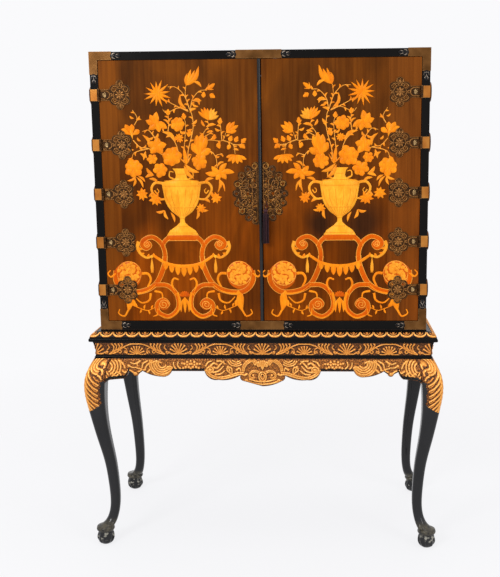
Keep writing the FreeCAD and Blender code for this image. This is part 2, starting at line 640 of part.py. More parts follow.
def make_rail_mount(top):
    ys = (f"{FRONT} - mount_thickness", FRONT)
    edge = CASE_HIGH if top else CASE_LOW
    zs = (OPEN_HIGH, CASE_HIGH) if top else (CASE_LOW, OPEN_LOW)
    solids = [box(("-rail_half", "rail_half"), ys, zs)]
    if top:
        deep = (f"{FRONT} - mount_thickness", f"{FRONT} + mount_return")
        solids.append(box(("-rail_half", "rail_half"), deep, (edge, f"{edge} + mount_thickness")))
    eyes = []
    for side in SIDES.values():
        ends = finial(f"{side} * rail_half", f"({zs[0]} + {zs[1]}) / 2", side, 0)
        solids += ends[0]
        eyes += ends[1]
    return cut(fuse(solids), eyes)


def make_mounts():
    corners = [make_corner_mount(side, top) for side in SIDES.values() for top in (False, True)]
    piece("corner_mounts", group(corners))
    piece("rail_mounts", group([make_rail_mount(top) for top in (False, True)]))


# Doors, meeting bead and the pierced lock roundel: angles of its lobes and eyes, and their share of the oval
LOBES = (range(-80, 81, 20), "1")
LOBE_EYES = (range(-80, 81, 20), "0.98")
MIDDLE_EYES = (range(-70, 71, 20), "0.76")
INNER_EYES = (range(-60, 61, 30), "0.52")


def around(side, radius, ring):
    """Discs set round the lock on an oval."""
    angles, share = ring
    return [disc(radius, "leaf_thickness", f"{side} * {share} * lock_reach * cos({angle} deg)",
                 f"{LOCK_Z} + {share} * lock_rise * sin({angle} deg)") for angle in angles]


def lock_plate(side, edge, extra):
    """Half a scalloped, pierced oval on one door, cut straight along the meeting edge."""
    quarter = "(lock_reach + lock_rise) / 2"
    half = [("0", f"{LOCK_Z} - lock_rise"), (f"{side} * lock_reach", LOCK_Z, quarter, side),
            ("0", f"{LOCK_Z} + lock_rise", quarter, side)]
    oval = padded(new_body(), "XZ_Plane", half, "leaf_thickness", f"-({FRONT})")
    eyes = around(side, "lock_eye", LOBE_EYES) + around(side, "lock_eye", MIDDLE_EYES)
    eyes += around(side, "lock_inner_eye", INNER_EYES)
    reach = "2 * lock_rise"
    eyes.append(box(span(side, f"-{reach}", edge), (f"{FRONT} - 2 * leaf_thickness", f"{FRONT} + leaf_thickness"),
                    (f"{LOCK_Z} - {reach}", f"{LOCK_Z} + {reach}")))
    return cut(fuse([oval] + around(side, "lock_lobe", LOBES)), eyes + extra)


def keyhole(near, far):
    """A bore for the key's stem and a slot that lets its bit through."""
    bore = rod("key_bore", f"{far} - {near}", KEY_X, near, KEY_Z, "y")
    half = "(bit_thickness / 2 + bit_play)"
    slot = box((KEY_X, f"{KEY_X} + bit_reach + bit_play"), (near, far),
               (f"{KEY_Z} - {half}", f"{KEY_Z} + {half}"))
    return [bore, slot]


def make_doors():
    ys, zs = (FRONT, DOOR_BACK), (DOOR_LOW, DOOR_HIGH)
    piece("door_left", box((f"-({INNER} - door_gap)", LEFT_EDGE), ys, zs))
    slab = box((RIGHT_EDGE, f"{INNER} - door_gap"), ys, zs)
    piece("door_right", cut(slab, keyhole(FRONT, DOOR_BACK)))
    crown = "(bead_width ^ 2 / 4 + bead_rise ^ 2) / (2 * bead_rise)"
    bead = [(f"-{LEFT_EDGE}", FRONT), (LEFT_EDGE, FRONT, crown, 1)]
    piece("meeting_bead", padded(new_body(), "XY_Plane", bead, f"{DOOR_HIGH} - {DOOR_LOW}", DOOR_LOW))
    piece("lock_plate_left", lock_plate(-1, LEFT_EDGE, []))
    plate_hole = keyhole(f"({FRONT} - leaf_thickness)", FRONT)
    piece("lock_plate_right", lock_plate(1, f"{RIGHT_EDGE} + lock_plate_gap", plate_hole))


# Rim lock on the right door, its keep on the left door, key and tassel
def make_lock():
    left, right = f"({RIGHT_EDGE} + lock_setback)", f"({RIGHT_EDGE} + lock_setback + lock_length)"
    ys = (DOOR_BACK, f"{DOOR_BACK} + lock_depth")
    zs = (f"{KEY_Z} - lock_below", f"{KEY_Z} + lock_above")
    bolt_y = (f"({DOOR_BACK} + bolt_face)", f"({DOOR_BACK} + bolt_face + bolt_thickness)")
    bolt_z = (f"({KEY_Z} + bolt_low)", f"({KEY_Z} + bolt_low + bolt_height)")
    hollow = box((f"{left} + lock_wall", f"{right} - lock_wall"), (DOOR_BACK, f"{ys[1]} - lock_wall"),
                 (f"{zs[0]} + lock_wall", f"{zs[1]} - lock_wall"))
    slot = box((left, f"{left} + lock_wall"), (f"{bolt_y[0]} - bolt_play", f"{bolt_y[1]} + bolt_play"),
               (f"{bolt_z[0]} - bolt_play", f"{bolt_z[1]} + bolt_play"))
    piece("lock_case", cut(box((left, right), ys, zs), [hollow, slot]))
    bar = box((f"{left} + bolt_play", f"{left} + bolt_tail"), bolt_y, bolt_z)
    teeth = [box((f"{KEY_X} + {start}", f"{KEY_X} + {start} + talon_width"), bolt_y,
                 (f"{KEY_Z} + talon_low", bolt_z[0])) for start in ("talon_push", "talon_return")]
    piece("lock_bolt", fuse([bar] + teeth))
    keep_end = f"({LEFT_EDGE} - keep_setback)"
    keep_y = (DOOR_BACK, f"{bolt_y[1]} + keep_play + keep_rim")
    keep_z = (f"{bolt_z[0]} - keep_play - keep_rim", f"{bolt_z[1]} + keep_play + keep_rim")
    mortise = box((f"{keep_end} - keep_slot", keep_end),
                  (f"{bolt_y[0]} - keep_play", f"{bolt_y[1]} + keep_play"),
                  (f"{bolt_z[0]} - keep_play", f"{bolt_z[1]} + keep_play"))
    piece("lock_keep", cut(box((f"{keep_end} - keep_length", keep_end), keep_y, keep_z), [mortise]))


def make_key():
    start = f"({FRONT} - key_reach)"
    bit_y = f"({DOOR_BACK} + bolt_face)"
    stem = rod("key_radius", f"{bit_y} + bit_width - {start}", KEY_X, start, KEY_Z, "y")
    bow = ring("bow_radius", "bow_wire", KEY_X, f"{start} - bow_radius", KEY_Z, "x")
    bit = box((KEY_X, f"{KEY_X} + bit_reach"), (bit_y, f"{bit_y} + bit_width"),
              (f"{KEY_Z} - bit_thickness / 2", f"{KEY_Z} + bit_thickness / 2"))
    piece("key", fuse([stem, bow, bit]))


def make_tassel():
    y = f"({FRONT} - tassel_standoff)"
    loop_z = f"({KEY_Z} + key_radius + loop_play + loop_wire - loop_radius)"
    loop = ring("loop_radius", "loop_wire", KEY_X, y, loop_z, "y")
    head_z = f"({KEY_Z} - head_drop)"
    cord = rod("tassel_cord", f"{loop_z} - loop_radius - {head_z}", KEY_X, y, head_z, "z")
    head = drive(doc.addObject("Part::Sphere", "head"), Radius="head_radius")
    put(head, KEY_X, y, head_z)
    skirt = drive(doc.addObject("Part::Cone", "skirt"), Radius1="skirt_radius", Radius2="skirt_top",
                  Height="skirt_length")
    put(skirt, KEY_X, y, f"{KEY_Z} - skirt_drop - skirt_length")
    piece("tassel", fuse([loop, cord, head, skirt]))


# Sliding bolts that hold the left door, drawn back at rest
def make_bolts():
    guides = []
    for label, side, end in (("upper_bolt", 1, DOOR_HIGH), ("lower_bolt", -1, DOOR_LOW)):
        def stretch(near, far):
            """Heights between two distances from the door's end."""
            heights = (f"{end} - {side} * ({near})", f"{end} - {side} * ({far})")
            return heights if side < 0 else heights[::-1]
        low = stretch("rod_setback", "rod_setback + rod_length")[0]
        bar = rod("rod_radius", "rod_length", ROD_X, ROD_Y, low, "z")
        knob = rod("knob_radius", "knob_length", ROD_X, ROD_Y, f"{low} + rod_length / 2", "y")
        piece(label, fuse([bar, knob]))
        xs = (f"{ROD_X} - guide_width / 2", f"{ROD_X} + guide_width / 2")
        for near in ("guide_near", "guide_far"):
            zs = stretch(near, f"{near} + guide_height")
            block = box(xs, (DOOR_BACK, f"{DOOR_BACK} + guide_depth"), zs)
            bore = rod("rod_radius + rod_clearance", "guide_height", ROD_X, ROD_Y, zs[0], "z")
            guides.append(cut(block, [bore]))
    piece("bolt_guides", group(guides))


make_case()
make_stand_top()
make_frieze()
make_aprons(make_legs())
make_hinges()
make_mounts()
make_doors()
make_lock()
make_key()
make_tassel()
make_bolts()
doc.recompute()

for item in doc.Objects:
    if {"Invalid", "Error"} & set(item.State):
        raise RuntimeError(f"{item.Name} {item.Label} failed: {item.State}")
for item in pieces:
    if item.Shape.isNull() or not item.Shape.isValid() or item.Shape.Volume <= 0:
        raise RuntimeError(f"{item.Label} has no valid solid")
os.makedirs("parts", exist_ok=True)
for item in pieces:
    item.Shape.exportStep(f"parts/{item.Label}.step")
print(len(pieces), "sub-parts,", sum(len(item.Shape.Solids) for item in pieces), "solids")
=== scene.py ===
"""Looks of the cocktail cabinet on stand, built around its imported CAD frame.

Motifs are drawn in millimetres, in the frame's axes, and become metres when a mesh is made.
The points of a line are listed as across, up, across, up and so on.
"""

import json
import math

import bpy
import numpy as np
from mathutils import Matrix, Vector
from mathutils.bvhtree import BVHTree


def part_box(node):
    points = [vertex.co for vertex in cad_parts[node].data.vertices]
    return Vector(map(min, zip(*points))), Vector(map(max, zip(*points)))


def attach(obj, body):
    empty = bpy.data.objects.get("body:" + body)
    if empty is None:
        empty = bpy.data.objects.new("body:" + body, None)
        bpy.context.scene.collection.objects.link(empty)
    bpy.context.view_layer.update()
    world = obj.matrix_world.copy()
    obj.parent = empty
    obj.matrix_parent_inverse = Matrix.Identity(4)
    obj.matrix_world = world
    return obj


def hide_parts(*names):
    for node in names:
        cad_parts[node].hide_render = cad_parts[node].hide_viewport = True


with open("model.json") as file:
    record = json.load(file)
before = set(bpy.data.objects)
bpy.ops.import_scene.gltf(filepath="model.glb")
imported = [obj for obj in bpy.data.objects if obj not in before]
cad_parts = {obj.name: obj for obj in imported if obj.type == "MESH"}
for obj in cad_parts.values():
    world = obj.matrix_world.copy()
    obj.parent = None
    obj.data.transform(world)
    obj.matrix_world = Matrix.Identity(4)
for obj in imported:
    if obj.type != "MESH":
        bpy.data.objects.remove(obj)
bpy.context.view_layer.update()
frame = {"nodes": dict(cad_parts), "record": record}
NODES = frame["nodes"]
SCENE = bpy.context.scene
MM = 0.001
SIDES = (-1, 1)
HANDS = (("left", -1), ("right", 1))
FULL_TURN = 2 * math.pi
rng = np.random.default_rng(7)


def srgb(red, green, blue):
    """Linear colour of an 8-bit screen colour."""
    shares = [channel / 255 for channel in (red, green, blue)]
    return (*[s / 12.92 if s <= 0.04045 else ((s + 0.055) / 1.055) ** 2.4 for s in shares], 1.0)


# Lines and meshes

def heading(angle):
    return np.array([math.cos(angle), math.sin(angle)])


def arc(centre, reach, start=0.0, end=FULL_TURN, count=40):
    """Points on a circle, or on an ellipse where reach has two values."""
    turn = np.linspace(start, end, count)
    return np.asarray(centre, float) + np.column_stack([np.cos(turn), np.sin(turn)]) * reach


def curve(points, step=2.5):
    """Smooth line through the points, sampled about every step millimetres."""
    points = np.asarray(points, float).reshape(-1, 2)
    if len(points) == 2:
        count = max(3, int(np.linalg.norm(points[1] - points[0]) / step))
        return points[0] + np.linspace(0, 1, count)[:, None] * (points[1] - points[0])
    padded = np.vstack([2 * points[0] - points[1], points, 2 * points[-1] - points[-2]])
    line = []
    for a, b, c, d in zip(padded, padded[1:], padded[2:], padded[3:]):
        count = max(2, int(np.linalg.norm(c - b) / step))
        t = np.arange(count)[:, None] / count
        line.append(b + 0.5 * ((c - a) * t + (2 * a - 5 * b + 4 * c - d) * t ** 2
                               + (3 * b - a - 3 * c + d) * t ** 3))
    return np.vstack(line + [points[-1:]])


def spiral(eye, start, turns, hand=1, shrink=0.18):
    """Points that wind from start in to the eye."""
    eye = np.asarray(eye, float)
    reach = np.asarray(start, float) - eye
    t = np.linspace(0, 1, max(8, int(turns * 14)))
    radius = np.linalg.norm(reach) * (1 - (1 - shrink) * t)
    turn = math.atan2(reach[1], reach[0]) + hand * FULL_TURN * turns * t
    return eye + np.column_stack([radius * np.cos(turn), radius * np.sin(turn)])


def sides_of(line):
    """Unit vectors along a sampled line and to its left."""
    along = np.gradient(line, axis=0)
    along /= np.maximum(np.linalg.norm(along, axis=1, keepdims=True), 1e-9)
    return along, np.column_stack([-along[:, 1], along[:, 0]])


def quads_of(index):
    """Quads of a sheet of vertex numbers."""
    return np.stack([index[:-1, :-1], index[:-1, 1:], index[1:, 1:], index[1:, :-1]], axis=-1).reshape(-1, 4)


def build(name, vertices, faces, body, material, tint=None, depth=None):
    """A smooth mesh piece that rides on a body; vertices are in millimetres."""
    mesh = bpy.data.meshes.new(name)
    mesh.from_pydata((np.asarray(vertices, float) * MM).tolist(), [], [tuple(face) for face in faces])
    if tint is not None:
        layer = mesh.color_attributes.new("tint", "FLOAT_COLOR", "POINT")
        layer.data.foreach_set("color", np.asarray(tint, np.float32).ravel())
    if depth is not None:
        layer = mesh.attributes.new("depth", "FLOAT", "POINT")
        layer.data.foreach_set("value", np.asarray(depth, np.float32).ravel())
    mesh.materials.append(material)
    mesh.polygons.foreach_set("use_smooth", [True] * len(mesh.polygons))
    piece = bpy.data.objects.new(name, mesh)
    SCENE.collection.objects.link(piece)
    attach(piece, body)
    return piece


def tree_of(node):
    mesh = NODES[node].data
    return BVHTree.FromPolygons([v.co for v in mesh.vertices], [tuple(p.vertices) for p in mesh.polygons])


# Materials

class Nodes:
    """Adds nodes to a tree by short calls."""

    def __init__(self, tree):
        self.tree = tree

    def node(self, kind, inputs=None, **settings):
        made = self.tree.nodes.new("ShaderNode" + kind)
        for key, value in settings.items():
            setattr(made, key, value)
        for key, value in (inputs or {}).items():
            if isinstance(value, bpy.types.NodeSocket):
                self.tree.links.new(value, made.inputs[key])
            else:
                made.inputs[key].default_value = value
        return made

    def math(self, operation, *values):
        return self.node("Math", dict(enumerate(values)), operation=operation).outputs[0]

    def seen(self):
        """One where the backdrop itself is seen: by the camera, in a reflection or through glass."""
        path = self.node("LightPath").outputs
        either = self.math("MAXIMUM", path["Is Camera Ray"], path["Is Glossy Ray"])
        return self.math("MAXIMUM", either, path["Is Transmission Ray"])

    def show(self, source, output):
        self.tree.links.new(source, self.tree.nodes[output].inputs["Surface"])


class Shader(Nodes):
    """A Principled material; patterns lie in the frame's own metres, and plain colours are 8-bit."""

    def __init__(self, name, **sockets):
        self.material = bpy.data.materials.new(name)
        self.material.use_nodes = True
        super().__init__(self.material.node_tree)
        self.surface = self.tree.nodes["Principled BSDF"]
        for socket, value in sockets.items():
            self.surface.inputs[socket.replace("_", " ")].default_value = value

    def feed(self, socket, source):
        self.tree.links.new(source, self.surface.inputs[socket])

    def place(self, stretch=(1, 1, 1)):
        coords = self.node("TexCoord").outputs["Object"]
        return self.node("Mapping", {"Vector": coords, "Scale": stretch}).outputs[0]

    def axes(self):
        return self.node("SeparateXYZ", {0: self.place()}).outputs

    def noise(self, scale, stretch=(1, 1, 1), detail=3, distortion=0.0):
        inputs = {"Vector": self.place(stretch), "Scale": scale, "Detail": detail, "Distortion": distortion}
        return self.node("TexNoise", inputs).outputs["Fac"]

    def span(self, value, low, high, new_low=0.0, new_high=1.0):
        inputs = {"Value": value, "From Min": low, "From Max": high, "To Min": new_low, "To Max": new_high}
        return self.node("MapRange", inputs).outputs[0]

    def ramp(self, factor, *stops):
        """Colours along a factor; each stop is a position, red, green and blue."""
        made = self.node("ValToRGB", {"Fac": factor})
        elements = made.color_ramp.elements
        while len(elements) < len(stops):
            elements.new(1.0)
        for element, (position, *colour) in zip(elements, stops):
            element.position = position
            element.color = srgb(*colour)
        return made.outputs["Color"]

    def mix(self, factor, first, second, blend="MIX"):
        second = srgb(*second) if isinstance(second, tuple) else second
        made = self.node("Mix", {0: factor, 6: first, 7: second}, data_type="RGBA", blend_type=blend)
        return made.outputs[2]

    def streak(self, share, base, pattern, low, dark, high):
        """Darken the base where the pattern is low."""
        return self.mix(share, base, self.ramp(pattern, (low, *dark), (high, 255, 255, 255)), "MULTIPLY")

    def attribute(self, name, output="Color"):
        return self.node("Attribute", attribute_name=name).outputs[output]

    def edges(self, radius):
        """One along sharp edges and nothing on flat faces."""
        smooth = self.node("Bevel", {"Radius": radius}, samples=4).outputs["Normal"]
        flat = self.node("NewGeometry").outputs["Normal"]
        turn = self.node("VectorMath", {0: smooth, 1: flat}, operation="DOT_PRODUCT").outputs["Value"]
        return self.span(turn, 0.995, 0.85)

    def finish(self, colour, roughness=None, bump=None):
        """Feed the surface; bump has a height, its strength and its distance."""
        self.feed("Base Color", colour)
        if roughness is not None:
            self.feed("Roughness", roughness)
        if bump is not None:
            made = self.node("Bump", dict(zip(("Height", "Strength", "Distance"), bump)))
            self.feed("Normal", made.outputs["Normal"])
        return self.material


# Wear of the toes and painted glints on the balls: levels, where it begins, is full, wanes and ends between
# them, range of the flecks, colour
WORN_TOE = ((0.04, 0.1), (0.1, 0.25, 0.5, 0.8), (0.3, 0.6), (84, 79, 66))
# The pale flecks on the balls are painted highlights.
BALL_GLINTS = ((0.012, 0.05), (0.1, 0.4, 0.8, 1.0), (0.54, 0.62), (150, 147, 136))


def ebonised(name="ebonised_wood", dark=(8, 7, 7), light=(15, 13, 12), coat=0.02, worn=()):
    """Black lacquer with brown rubbed edges; worn, its toes are grey, and the balls under them carry pale
    flecks that are painted highlights.
    """
    shader = Shader(name, Specular_IOR_Level=0.08, Coat_Weight=coat, Coat_Roughness=0.1)
    cloud = shader.noise(7, (1, 1, 0.35), 4)
    grain = shader.noise(210, (1, 1, 0.06), 3)
    black = shader.ramp(cloud, (0.3, *dark), (0.7, *light))
    lacquer_colour = shader.mix(shader.edges(0.0016), black, (58, 44, 38))
    for levels, stops, flecks, tone in worn:
        shares = [(stop, *[share] * 3) for stop, share in zip(stops, (0, 255, 255, 0))]
        zone = shader.ramp(shader.span(shader.axes()["Z"], *levels), *shares)
        # Flecks: chips of wear on the toes, painted glints on the balls.
        chips_and_glints = shader.mix(shader.span(shader.noise(85), *flecks), lacquer_colour, tone)
        lacquer_colour = shader.mix(zone, lacquer_colour, chips_and_glints)
    return shader.finish(lacquer_colour, shader.span(cloud, 0.3, 0.7, 0.18, 0.32), (grain, 0.1, 0.0005))


LEAF_WIDTH = 0.127
# Dark clouds beside the right urn's foot: across, up, reach
CLOUDS = ((0.335, 1.105, 0.085), (0.19, 1.1, 0.06))


def veneer():
    """Vertical walnut leaves: browner above, more orange below, clouded, and paler along the hinge edge; on
    the right door that paler strip is partly painted sheen.
    """
    shader = Shader("marquetry_veneer", Specular_IOR_Level=0.04)
    axes = shader.axes()
    across, up = axes["X"], axes["Z"]
    leaf = shader.math("FLOOR", shader.math("DIVIDE", across, LEAF_WIDTH))
    tone = shader.node("TexWhiteNoise", {"W": leaf}, noise_dimensions="1D").outputs["Value"]
    figure = shader.noise(4.2, (1.5, 1, 0.7), 4, 0.9)
    grain = shader.noise(120, (1, 1, 0.03), 5, 0.4)
    pores = shader.noise(420, (1, 1, 0.03), 2)
    upper = shader.ramp(figure, (0.25, 76, 41, 12), (0.5, 110, 59, 16), (0.75, 138, 75, 18))
    lower = shader.ramp(figure, (0.25, 86, 40, 5), (0.5, 122, 57, 4), (0.75, 164, 76, 5))
    height = shader.math("ADD", up, shader.span(figure, 0, 1, -0.12, 0.12))
    base = shader.mix(shader.span(height, 1.45, 1.0), upper, lower)
    base = shader.mix(shader.span(tone, 0, 1, 0.0, 0.2), base, (66, 33, 8))
    shade = shader.span(shader.noise(3.0, (1, 1, 0.8), 3, 0.5), 0.48, 0.68, 0.0, 0.6)
    base = shader.mix(shader.math("MULTIPLY", shade, shader.span(up, 1.52, 1.3, 0.2, 1.0)), base, (50, 26, 8))
    outside = shader.span(axes["Y"], -0.205, -0.215)
    for x, z, reach in CLOUDS:
        centre = {0: shader.place((1, 0, 0.8)), 1: (x, 0, 0.8 * z)}
        away = shader.node("VectorMath", centre, operation="DISTANCE").outputs["Value"]
        dark = shader.span(away, reach, 0.25 * reach, 0.0, 0.75)
        base = shader.mix(shader.math("MULTIPLY", dark, outside), base, (38, 25, 16))
    base = shader.mix(shader.span(across, -0.4535, -0.4555, 0.0, 0.4), base, (150, 82, 22))
    # The right door's hinge strip: crossbanding, made paler by a painted sheen.
    base = shader.mix(shader.span(across, 0.408, 0.41, 0.0, 0.3), base, (148, 82, 30))
    base = shader.streak(0.9, base, grain, 0.3, (212, 204, 196), 0.62)
    return shader.finish(base, shader.span(grain, 0.3, 0.7, 0.4, 0.28), (pores, 0.08, 0.0004))


def inlay():
    shader = Shader("marquetry_inlay", Specular_IOR_Level=0.08, Roughness=0.34)
    grain = shader.noise(260, (1, 1, 0.2), 4, 0.6)
    wood = shader.streak(0.7, shader.attribute("tint"), grain, 0.3, (236, 218, 190), 0.62)
    wood = shader.streak(0.8, wood, shader.noise(34, detail=4), 0.36, (246, 226, 192), 0.56)
    return shader.finish(wood, bump=(grain, 0.12, 0.0005))


def gilt(name="gilt_carving", carved=True):
    """Gold from the depth tone: burnished with a painted highlight on the high parts, brown toning lower
    down, and painted shade running to black in the deepest recesses.
    """
    shader = Shader(name, Metallic=0.4, Specular_IOR_Level=0.3)
    worn = shader.noise(190, detail=5)
    speck = shader.noise(620, detail=2)
    wear = shader.math("ADD", shader.span(worn, 0.25, 0.75, -0.12, 0.12),
                       shader.span(speck, 0.3, 0.7, -0.12, 0.12))
    level = shader.attribute("depth", "Fac") if carved else shader.span(worn, 0.3, 0.8, 0.05, 0.3)
    height = shader.math("ADD", level, wear)
    gold = shader.ramp(height, (0.0, 15, 11, 9), (0.13, 52, 29, 14), (0.3, 126, 74, 32),
                       (0.55, 196, 118, 44), (0.8, 236, 156, 64), (1.0, 255, 204, 118))
    return shader.finish(gold, shader.span(worn, 0.3, 0.7, 0.3, 0.48), (speck, 0.25, 0.0007))


PLATE_EDGE = 0.0006


def brass(name, dark, middle, light, edge, plate=None):
    """Rubbed brass; with a plate's inner and outer reach, the metal beyond them is dark, and the dark knuckle
    inside the inner reach is painted shade in the hinge's joint.
    """
    shader = Shader(name, Metallic=1.0)
    cloud = shader.noise(18, detail=4)
    copper = shader.ramp(cloud, (0.28, *dark), (0.5, *middle), (0.75, *light))
    copper = shader.mix(shader.edges(0.0012), copper, edge)
    if plate:
        inner, outer = plate
        reach = shader.math("ABSOLUTE", shader.axes()["X"])
        # Inside the inner reach the knuckle is painted dark: painted shade in the joint between case plate
        # and strap.
        copper = shader.mix(shader.span(reach, inner, inner - PLATE_EDGE), copper, (52, 33, 18))
        copper = shader.mix(shader.span(reach, outer, outer + PLATE_EDGE), copper, (74, 44, 24))
    scratch = shader.noise(340, (0.12, 1, 1), 3)
    return shader.finish(copper, shader.span(cloud, 0.3, 0.7, 0.4, 0.26), (scratch, 0.1, 0.0004))


def bronze():
    shader = Shader("dark_bronze", Metallic=0.7, Specular_IOR_Level=0.2)
    cloud = shader.noise(60, detail=4)
    brown = shader.ramp(cloud, (0.3, 40, 24, 10), (0.6, 66, 40, 16), (0.8, 92, 58, 26))
    brown = shader.mix(shader.edges(0.0012), brown, (150, 106, 60))
    pitting = shader.noise(700, detail=2)
    return shader.finish(brown, shader.span(cloud, 0.3, 0.7, 0.5, 0.36), (pitting, 0.15, 0.0005))


def filigree():
    """Chased bronze lines: tan on their crowns, brown beside them."""
    shader = Shader("bronze_filigree", Metallic=0.8)
    cloud = shader.noise(240, detail=4)
    toned = shader.streak(0.8, shader.attribute("tint"), cloud, 0.3, (168, 150, 134), 0.65)
    return shader.finish(toned, shader.span(cloud, 0.3, 0.7, 0.46, 0.3), (cloud, 0.12, 0.0004))


def steel():
    shader = Shader("lock_steel", Metallic=1.0)
    filed = shader.noise(420, (0.05, 1, 1), 3)
    grey = shader.ramp(shader.noise(40), (0.3, 120, 116, 110), (0.7, 176, 174, 170))
    return shader.finish(grey, shader.span(filed, 0.3, 0.7, 0.3, 0.5), (filed, 0.2, 0.0005))


def interior():
    shader = Shader("interior_wood", Specular_IOR_Level=0.3)
    figure = shader.noise(9, (0.35, 1, 1), 4, 1.2)
    grain = shader.noise(150, (0.04, 1, 1), 4, 0.4)
    wood = shader.ramp(figure, (0.25, 118, 66, 30), (0.5, 150, 88, 42), (0.75, 174, 108, 56))
    wood = shader.streak(0.8, wood, grain, 0.3, (166, 150, 138), 0.6)
    return shader.finish(wood, shader.span(grain, 0.3, 0.7, 0.5, 0.36), (grain, 0.15, 0.0005))


def mirror():
    shader = Shader("silvered_mirror", Metallic=1.0)
    age = shader.noise(14, detail=6)
    silver = shader.ramp(age, (0.24, 150, 146, 138), (0.36, 232, 234, 233))
    return shader.finish(silver, shader.span(age, 0.22, 0.4, 0.12, 0.02))


def glass():
    shader = Shader("shelf_glass", Transmission_Weight=1.0, IOR=1.5)
    smear = shader.noise(30, detail=4)
    clear = shader.ramp(smear, (0.3, 222, 240, 234), (0.7, 238, 248, 244))
    return shader.finish(clear, shader.span(smear, 0.45, 0.8, 0.01, 0.08))


def silk():
    shader = Shader("tassel_silk", Roughness=0.62, Sheen_Weight=0.06, Specular_IOR_Level=0.2)
    ply = shader.noise(900, (1, 1, 0.12), 3)
    dyed = shader.streak(0.9, shader.attribute("tint"), ply, 0.3, (120, 110, 112), 0.65)
    return shader.finish(dyed, bump=(ply, 0.3, 0.0006))


BRASS_TONES = ((140, 80, 34), (176, 110, 48), (204, 140, 66), (232, 180, 110))
MOUNT_TONES = ((74, 48, 23), (106, 70, 36), (138, 96, 53), (190, 142, 90))
HINGE_PLATE = (0.5168, 0.5377)
EBONISED, INLAY, GILT, FILIGREE, SILK = ebonised(), inlay(), gilt(), filigree(), silk()
# A paler copy of the ebonised finish for the legs and the meeting bead: its lighter black is painted sheen.
SHEEN_LACQUER = ebonised("leg_lacquer_painted_sheen", (24, 24, 26), (42, 42, 44), 0.3, (WORN_TOE, BALL_GLINTS))
FINISHES = {"ebonised_wood": EBONISED, "gilt_carving": gilt("gilt_ground", carved=False),
            "marquetry_veneer": veneer(), "interior_wood": interior(), "silvered_mirror": mirror(),
            "shelf_glass": glass(), "polished_brass": brass("polished_brass", *BRASS_TONES),
            "dark_bronze": bronze(), "lock_steel": steel(), "tassel_silk": SILK}
OTHERS = dict.fromkeys(("corner_mounts", "rail_mounts", "key"), brass("mount_brass", *MOUNT_TONES))
OTHERS |= dict.fromkeys(("gadroon_moulding", "frieze_front", "frieze_left", "frieze_right"), EBONISED)
OTHERS |= dict.fromkeys([f"case_leaf_{side}_{index}" for side, hand in HANDS for index in range(1, 6)],
                        brass("hinge_brass", *BRASS_TONES, HINGE_PLATE))
OTHERS["meeting_bead"] = SHEEN_LACQUER
for part in frame["record"]["subparts"]:
    slots = NODES[part["node"]].data.materials
    slots.clear()
    slots.append(OTHERS.get(part["node"], FINISHES[part["material_slot"]]))


# Thin shaped strips: inlay and chased bronze

def front(face, hand=1, axis=0.0, foot=0.0):
    """Placing on a face that looks to the front, across from an axis and up from a foot."""
    return lambda across, up, rise: np.column_stack([hand * (across - axis), face - rise, foot + up])


class Ribbons:
    """Tapered strips on a flat face: crowned, darker at the edges and closed into the face all round."""

    SINK = 0.25
    BEVEL = 0.7

    def __init__(self, place, flip, edge, tint, lift=0.35, crown=0.25, layer=0.0025):
        self.place, self.flip, self.edge, self.tint = place, flip, np.array(edge[:3]), tint
        self.lift, self.crown, self.layer = lift, crown, layer
        self.vertices, self.faces, self.tints, self.count = [], [], [], 0
        self.local()

    def local(self, origin=(0, 0), across=1, up=1):
        """Measure what follows from an origin; across and up are minus one where they are mirrored."""
        self.origin, self.ways, self.hand = np.array(origin, float), np.array([across, up]), across * up

    def strip(self, line, half, tint=None, rise=1.0):
        line = np.asarray(line, float) * self.ways + self.origin
        half = np.maximum(np.broadcast_to(half, len(line)), 0.05)
        flat = half - np.minimum(self.BEVEL, 0.35 * half)
        columns = np.column_stack([-half, -flat, 0 * half, flat, half])
        points = line[:, None, :] + sides_of(line)[1][:, None, :] * columns[..., None]
        points = np.pad(points, ((1, 1), (0, 0), (0, 0)), "edge")
        top = rise * self.lift + self.layer * len(self.faces)
        height = np.tile([-self.SINK, top, top + rise * self.crown, top, -self.SINK], (len(line), 1))
        height = np.pad(height, ((1, 1), (0, 0)), constant_values=-self.SINK)
        shade = np.array([0.0, 0.9, 1.0, 0.9, 0.0])[:, None]
        colour = np.array((tint or self.tint)[:3]) * (1 + 0.1 * rng.uniform(-1, 1))
        row = np.column_stack([self.edge * (1 - shade) + colour * shade, np.ones(5)])
        quads = quads_of(self.count + np.arange(height.size).reshape(height.shape).T)
        self.vertices.append(self.place(points[..., 0].ravel(), points[..., 1].ravel(), height.ravel()))
        self.tints.append(np.tile(row, (len(points), 1)))
        self.faces.append(quads[:, ::-1] if self.flip else quads)
        self.count += height.size

    def stem(self, points, start, end, tint=None, rise=1.0):
        line = curve(points)
        self.strip(line, np.linspace(start, end, len(line)), tint, rise)

    def blade(self, base, tip, width, bend=0.0, tint=None, peak=0.5, full=0.8, rise=1.0):
        """A leaf or petal from base to tip; width is half its breadth, peak where it is widest."""
        base, tip = np.asarray(base, float), np.asarray(tip, float)
        reach = tip - base
        middle = (base + tip) / 2 + bend * np.array([-reach[1], reach[0]])
        line = curve([base, middle, tip], max(1.5, np.linalg.norm(reach) / 14))
        t = np.linspace(0, 1, len(line)) ** (math.log(0.5) / math.log(peak))
        self.strip(line, width * np.abs(np.sin(np.pi * t)) ** full, tint, rise)

    def disc(self, centre, radius, tint=None, rise=1.0):
        turn = np.linspace(math.pi, 0, 13)
        line = np.column_stack([centre[0] + radius * np.cos(turn), np.full(13, float(centre[1]))])
        self.strip(line, radius * np.sin(turn), tint, rise)

    def finish(self, name, body, slot, material):
        vertices, faces, tints = (np.vstack(rows) for rows in (self.vertices, self.faces, self.tints))
        build(name, vertices, faces, body, material, tints)


# Marquetry. A door's drawing runs across from the urn's axis to the meeting edge, and up from the foot.

